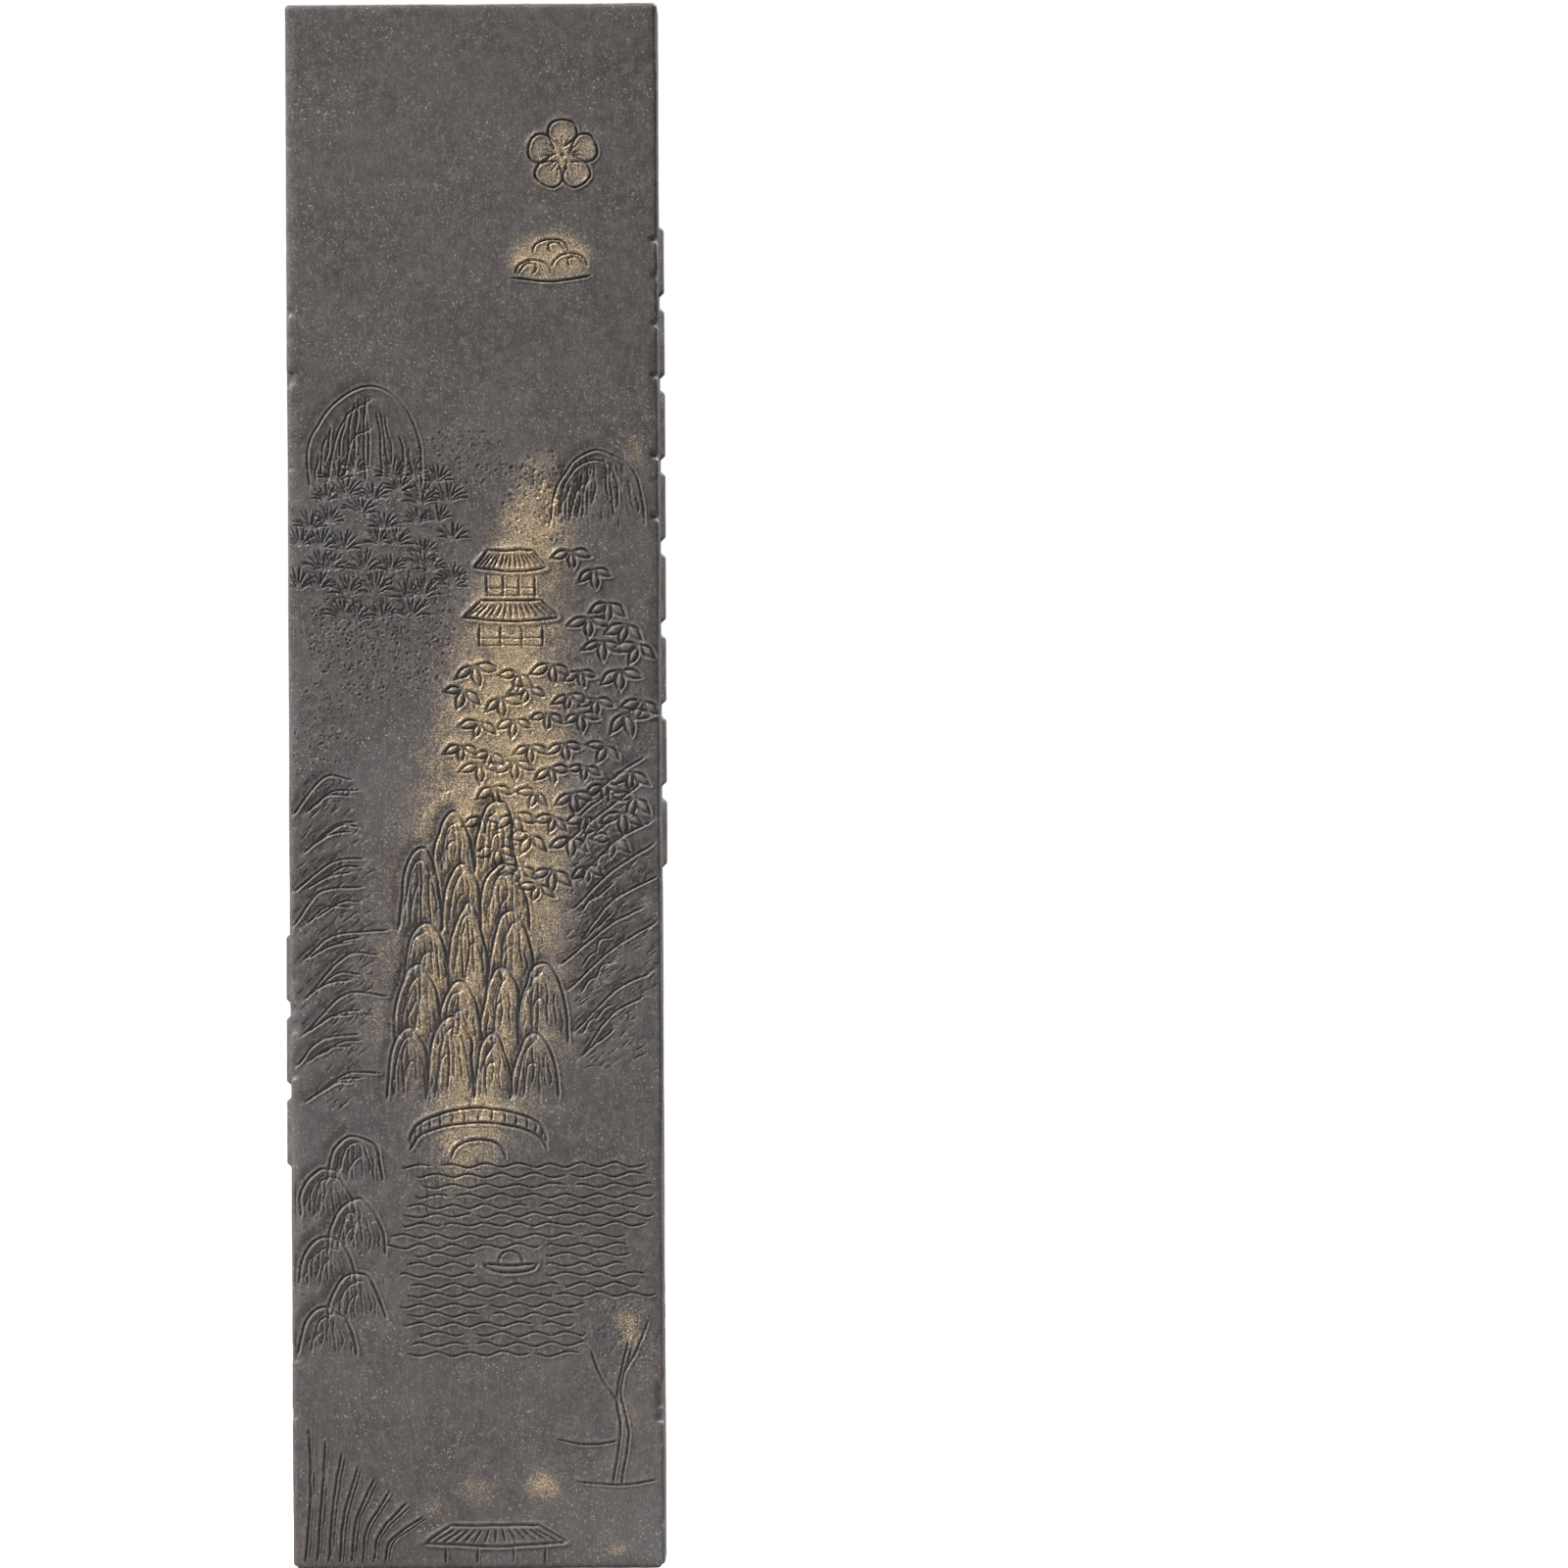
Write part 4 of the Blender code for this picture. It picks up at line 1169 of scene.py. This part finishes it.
class Look:
    """A material's nodes, made one after another."""

    def __init__(self, name):
        self.material = bpy.data.materials.new(name)
        self.material.use_nodes = True
        self.nodes = self.material.node_tree.nodes
        self.links = self.material.node_tree.links
        self.surface = self.nodes["Principled BSDF"]
        self.place = self.nodes.new("ShaderNodeTexCoord").outputs["Object"]

    def put(self, socket, value):
        if isinstance(value, bpy.types.NodeSocket):
            self.links.new(value, socket)
        else:
            socket.default_value = value

    def noise(self, size, detail=3.0, roughness=0.5, place=None):
        """Noise, about 0 to 1, with features of a size in millimetres."""
        node = self.nodes.new("ShaderNodeTexNoise")
        self.put(node.inputs["Vector"], place or self.place)
        node.inputs["Scale"].default_value = 1 / (size * MM)
        node.inputs["Detail"].default_value = detail
        node.inputs["Roughness"].default_value = roughness
        return node.outputs["Fac"]

    def turned(self, turn, stretch):
        """Places turned about the faces' normal and stretched."""
        node = self.nodes.new("ShaderNodeMapping")
        self.put(node.inputs["Vector"], self.place)
        node.inputs["Rotation"].default_value = (0, turn, 0)
        node.inputs["Scale"].default_value = stretch
        return node.outputs["Vector"]

    def remap(self, value, low, high, to_low=0.0, to_high=1.0):
        node = self.nodes.new("ShaderNodeMapRange")
        node.interpolation_type = "SMOOTHSTEP"
        for name, number in (
            ("Value", value), ("From Min", low), ("From Max", high), ("To Min", to_low), ("To Max", to_high),
        ):
            self.put(node.inputs[name], number)
        return node.outputs["Result"]

    def maths(self, operation, first, second, third=0.0):
        node = self.nodes.new("ShaderNodeMath")
        node.operation = operation
        for socket, value in zip(node.inputs, (first, second, third)):
            self.put(socket, value)
        return node.outputs[0]

    def mix(self, factor, first, second):
        node = self.nodes.new("ShaderNodeMix")
        node.data_type = "RGBA"
        self.put(node.inputs[0], factor)
        self.put(node.inputs[6], first)
        self.put(node.inputs[7], second)
        return node.outputs[2]

    def attribute(self, name):
        node = self.nodes.new("ShaderNodeAttribute")
        node.attribute_name = name
        return node.outputs["Fac"]

    def bump(self, height, strength, reach, normal=None):
        node = self.nodes.new("ShaderNodeBump")
        node.inputs["Strength"].default_value = strength
        node.inputs["Distance"].default_value = reach * MM
        self.put(node.inputs["Height"], height)
        if normal:
            self.put(node.inputs["Normal"], normal)
        return node.outputs["Normal"]


def colour(red, green, blue, share=1.0):
    """A colour from how it looks on a screen, 0 to 255, as the amount of light it reflects."""
    channels = []
    for value in (red, green, blue):
        part = value / 255
        channels.append(share * (part / 12.92 if part <= 0.04045 else ((part + 0.055) / 1.055) ** 2.4))
    return (*channels, 1.0)


INK_SHARE = 0.87
STREAK_TURN = -38
STREAK_STRETCH = (1.0, 1.0, 0.18)


def ink_colour(look):
    """Pressed soot and glue: nearly black, with each layer laid over the ones before it. The cut, bank and
    burr layers paint light: painted shade in the cuts and on the banks, and a painted highlight on the
    burrs.
    """
    fine = look.noise(1.2, 4, 0.65)
    streaks = look.noise(0.22, 2, 0.6, look.turned(math.radians(STREAK_TURN), STREAK_STRETCH))
    clouds = look.remap(look.noise(9, 4, 0.6), 0.35, 0.65)
    warm = look.remap(look.noise(5, 3, 0.55), 0.52, 0.75)
    cool = look.remap(look.noise(13, 2, 0.5), 0.55, 0.75)
    edge = look.maths("MULTIPLY", look.attribute("edge"), look.remap(look.noise(0.9, 4, 0.7), 0.4, 0.7))
    dust = look.remap(look.noise(0.2, 1, 0.5), 0.63, 0.76)
    dusty = look.remap(look.noise(6, 3, 0.6), 0.35, 0.7, 0.25, 1.0)
    layers = (
        (clouds, (99, 94, 94)),
        (look.maths("MULTIPLY", warm, 0.6), (96, 88, 85)),
        (look.maths("MULTIPLY", cool, 0.7), (104, 103, 106)),
        (look.remap(fine, 0.4, 0.7, 0.0, 0.6), (112, 108, 106)),
        (look.remap(streaks, 0.5, 0.75, 0.0, 0.55), (122, 117, 114)),
        (look.remap(look.noise(0.5, 3, 0.6), 0.6, 0.72, 0.0, 0.5), (98, 78, 74)),
        # painted shade: darker in the cuts
        (look.remap(look.attribute("cut"), 0.1, 0.9, 0.0, 0.75), (58, 55, 57)),
        # painted shade: darker on the banks, the slopes that face away from the light
        (look.remap(look.attribute("bank"), 0.05, 0.9, 0.0, 0.35), (74, 71, 72)),
        # painted highlight: lighter on the burrs, the raised lips beside the cuts
        (look.remap(look.attribute("burr"), 0.25, 0.9, 0.0, 0.5), (140, 134, 130)),
        (look.maths("MULTIPLY", edge, 0.5), (126, 118, 110)),
        (look.maths("MULTIPLY", dust, dusty), (190, 182, 174)),
        (look.remap(look.noise(0.24, 2, 0.6), 0.3, 0.42, 0.45, 0.0), (70, 66, 67)),
    )
    base = colour(86, 82, 83, INK_SHARE)
    for factor, tone in layers:
        base = look.mix(factor, base, colour(*tone, INK_SHARE))
    return base, fine, streaks


def gold_amount(look):
    """How much of the surface gold covers here: what was laid on, less what has been rubbed off, and less a
    share in the cuts as painted shade.
    """
    clumps = look.noise(0.3, 4, 0.75)
    grains = look.noise(0.13, 2, 0.6)
    broken = look.maths("MULTIPLY_ADD", clumps, 0.8, -0.4)
    broken = look.maths("MULTIPLY_ADD", grains, 1.2, broken)
    covered = look.maths("ADD", look.attribute("gold"), look.maths("SUBTRACT", broken, 0.6))
    # painted shade: less gold in the cuts, so that they stay dark
    covered = look.maths("SUBTRACT", covered, look.maths("MULTIPLY", look.attribute("cut"), 0.3))
    return look.remap(covered, 0.05, 0.85), grains


def stick_material(name):
    """Ink with the gold that lies on it. The body and the skins look alike, so no skin shows its border."""
    look = Look(name)
    base, fine, streaks = ink_colour(look)
    gold, grains = gold_amount(look)
    bright = look.mix(look.remap(grains, 0.38, 0.66), colour(124, 107, 88), colour(234, 209, 172))
    surface = look.surface.inputs
    look.put(surface["Base Color"], look.mix(gold, base, bright))
    look.put(surface["Roughness"], look.remap(fine, 0.3, 0.7, 0.42, 0.62))
    look.put(surface["Metallic"], look.maths("MULTIPLY", gold, 0.35))
    surface["Specular IOR Level"].default_value = 0.35
    normal = look.bump(look.noise(0.35, 4, 0.7), 0.5, 0.03)
    normal = look.bump(streaks, 0.35, 0.03, normal)
    look.put(surface["Normal"], normal)
    return look.material


def floor_material():
    """White to the camera, and a darker floor to the light that falls on the stick."""
    look = Look("studio_floor")
    surface = look.surface.inputs
    surface["Base Color"].default_value = (*[FLOOR_SHADE] * 3, 1)
    surface["Roughness"].default_value = 0.9
    surface["Specular IOR Level"].default_value = 0.1
    surface["Emission Color"].default_value = WHITE
    path = look.nodes.new("ShaderNodeLightPath")
    glow = look.maths("MULTIPLY", path.outputs["Is Camera Ray"], FLOOR_GLOW)
    look.put(surface["Emission Strength"], glow)
    return look.material


# The pieces

def build_stick():
    """Carve both faces, wrap them round the stick, and lay the gold skins on it."""
    front = carve_front()
    back = carve_back()
    names = (gild(front, True), gild(back, False))
    spot = noise(UP_CELLS + 1, ACROSS_CELLS + 1, 0.6 / CELL, 0.6 / CELL)
    for face in (front, back):
        # painted shade: gold taken off the banks and out of the cuts, so that they stay dark
        shade_on_banks = BANK_GOLD_SHADE * smoothstep(0.02, 0.2, face.bank)
        shade_in_cuts = CUT_GOLD_SHADE * smoothstep(0.05, 0.2, face.cut)
        face.gold = np.clip(face.gold * (1 - shade_on_banks - shade_in_cuts) * (1 + GOLD_SPOTS * spot), 0, 1)
    front_heights = fitted(front.heights() - GROUND_SINK, FRONT_ROOM - GOLD_ROOM)
    back_heights = back.heights() - GROUND_SINK
    panel = panel_height(back.across[None, :], back.up[:, None])
    back_heights = fitted(back_heights * panel + (PANEL_RISE - PANEL_SINK) * panel, PANEL_RISE - GOLD_ROOM)
    points = boxed(round_foot(stick_surface(front_heights, back_heights)), BODY_ROOM)
    body = add_object("ink_stick", mesh_from_arrays("ink_stick", points, stick_faces()))
    mesh = thinned(body, SURFACE_SHARE)
    points = read_vectors(mesh.vertices, "co") / MM
    normals = read_vectors(mesh.vertex_normals, "vector")
    triangles = read_triangles(mesh)
    faces = (front, back)
    inside = sample(faces, "best_inside", points)
    # The cut, burr and bank fields also carry the painted shade in the cuts and on the banks, and the
    # painted highlight on the burrs
    fields = {
        "cut": np.clip(sample(faces, "cut", points) / BOLD.depth, 0, 1),
        "burr": np.clip(sample(faces, "burr", points) / BOLD.burr, 0, 1),
        "bank": np.clip(sample(faces, "bank", points) / LEDGE.bank, 0, 1),
        "gold": sample(faces, "gold", points),
        "rim": smoothstep(-GOLD_SPREAD, RIM_WIDTH - GOLD_SPREAD, inside),
        "edge": edge_nearness(points),
    }
    for name, values in fields.items():
        set_attribute(mesh, name, values)
    mesh.vertices.foreach_set("co", (boxed(points, BODY_ROOM) * MM).astype(np.float32).ravel())
    dress(body, "ink_body", ink)
    middles = points[triangles].mean(axis=1)
    thick = fields["gold"] * fields["rim"]
    for face, face_names, is_front in zip(faces, names, (True, False)):
        across, up = face_places(middles, is_front)
        column = np.clip(np.rint(across / CELL).astype(int), 0, ACROSS_CELLS)
        row = np.clip(np.rint(up / CELL).astype(int), 0, UP_CELLS)
        this_side = (middles[:, 1] < 0) == is_front
        owners = np.where(this_side, face.owner[row, column], -1)
        for index, node in enumerate(face_names):
            name = node.replace("gilt", "gold")
            shape, kept = skin(name, points, normals, triangles[owners == index], thick)
            for field, values in fields.items():
                set_attribute(shape, field, values[kept])
            dress(add_object(shape.name, shape), node, gold)


def dress(piece, node, material):
    """Give a piece its material, attach it to the root body, and hide the CAD part that it replaces."""
    piece.data.materials.clear()
    piece.data.materials.append(material)
    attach(piece, "root")
    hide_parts(node)


# The studio

# Widths and places in the view are in millimetres, lights and floor in metres
VIEW_WIDTH = 150.2
LENS = 280.0
SENSOR = 36.0
STICK_IN_VIEW = (-29.6, 75.07)
LEAN = 0.33
AMBIENT = 0.19
KEY_POWER = 0.37
KEY_PLACE = (0.64, 0.36, 0.78)
KEY_SIZE = 0.16
KEY_SPREAD = 24
FLOOR_SHADE = 0.4
FLOOR_GLOW = 0.98
FLOOR_REACH = 30
WHITE = (1, 1, 1, 1)


def add_camera():
    data = bpy.data.cameras.new("camera")
    data.lens = LENS
    data.sensor_width = SENSOR
    data.clip_start = 0.05
    data.clip_end = 20
    camera = bpy.data.objects.new("camera", data)
    bpy.context.scene.collection.objects.link(camera)
    distance = VIEW_WIDTH * LENS / SENSOR
    camera.location = Vector((-STICK_IN_VIEW[0], -THICKNESS / 2 - distance, STICK_IN_VIEW[1])) * MM
    camera.rotation_euler = Euler((math.radians(90), math.radians(LEAN), 0))
    bpy.context.scene.camera = camera


def add_light(name, place):
    """A round light that points at the middle of the stick."""
    data = bpy.data.lights.new(name, "AREA")
    data.shape = "DISK"
    data.size = KEY_SIZE
    data.spread = math.radians(KEY_SPREAD)
    data.energy = KEY_POWER
    light = bpy.data.objects.new(name, data)
    bpy.context.scene.collection.objects.link(light)
    aim = Vector((0, 0, HEIGHT / 2 * MM))
    light.location = Vector(place)
    light.rotation_euler = (aim - light.location).to_track_quat("-Z", "Y").to_euler()


def add_studio():
    """The floor, a world that is white to the camera only, and a light for each face."""
    mesh = bpy.data.meshes.new("floor")
    signs = ((-1, -1), (1, -1), (1, 1), (-1, 1))
    mesh.from_pydata([(FLOOR_REACH * x, FLOOR_REACH * y, 0) for x, y in signs], [], [(0, 1, 2, 3)])
    floor = add_object("floor", mesh)
    mesh.materials.append(floor_material())
    world = bpy.data.worlds.new("studio")
    world.use_nodes = True
    behind = world.node_tree.nodes["Background"]
    behind.inputs["Color"].default_value = WHITE
    path = world.node_tree.nodes.new("ShaderNodeLightPath")
    level = world.node_tree.nodes.new("ShaderNodeMapRange")
    level.inputs["To Min"].default_value = AMBIENT
    level.inputs["To Max"].default_value = 1.0
    world.node_tree.links.new(path.outputs["Is Camera Ray"], level.inputs["Value"])
    world.node_tree.links.new(level.outputs["Result"], behind.inputs["Strength"])
    bpy.context.scene.world = world
    bpy.context.scene.view_settings.view_transform = "Standard"
    for name, side in (("key_front", -1), ("key_back", 1)):
        add_light(name, (side * KEY_PLACE[0], side * KEY_PLACE[1], KEY_PLACE[2]))


ink = stick_material("pressed_ink")
gold = stick_material("gold_powder")
add_camera()
add_studio()
build_stick()
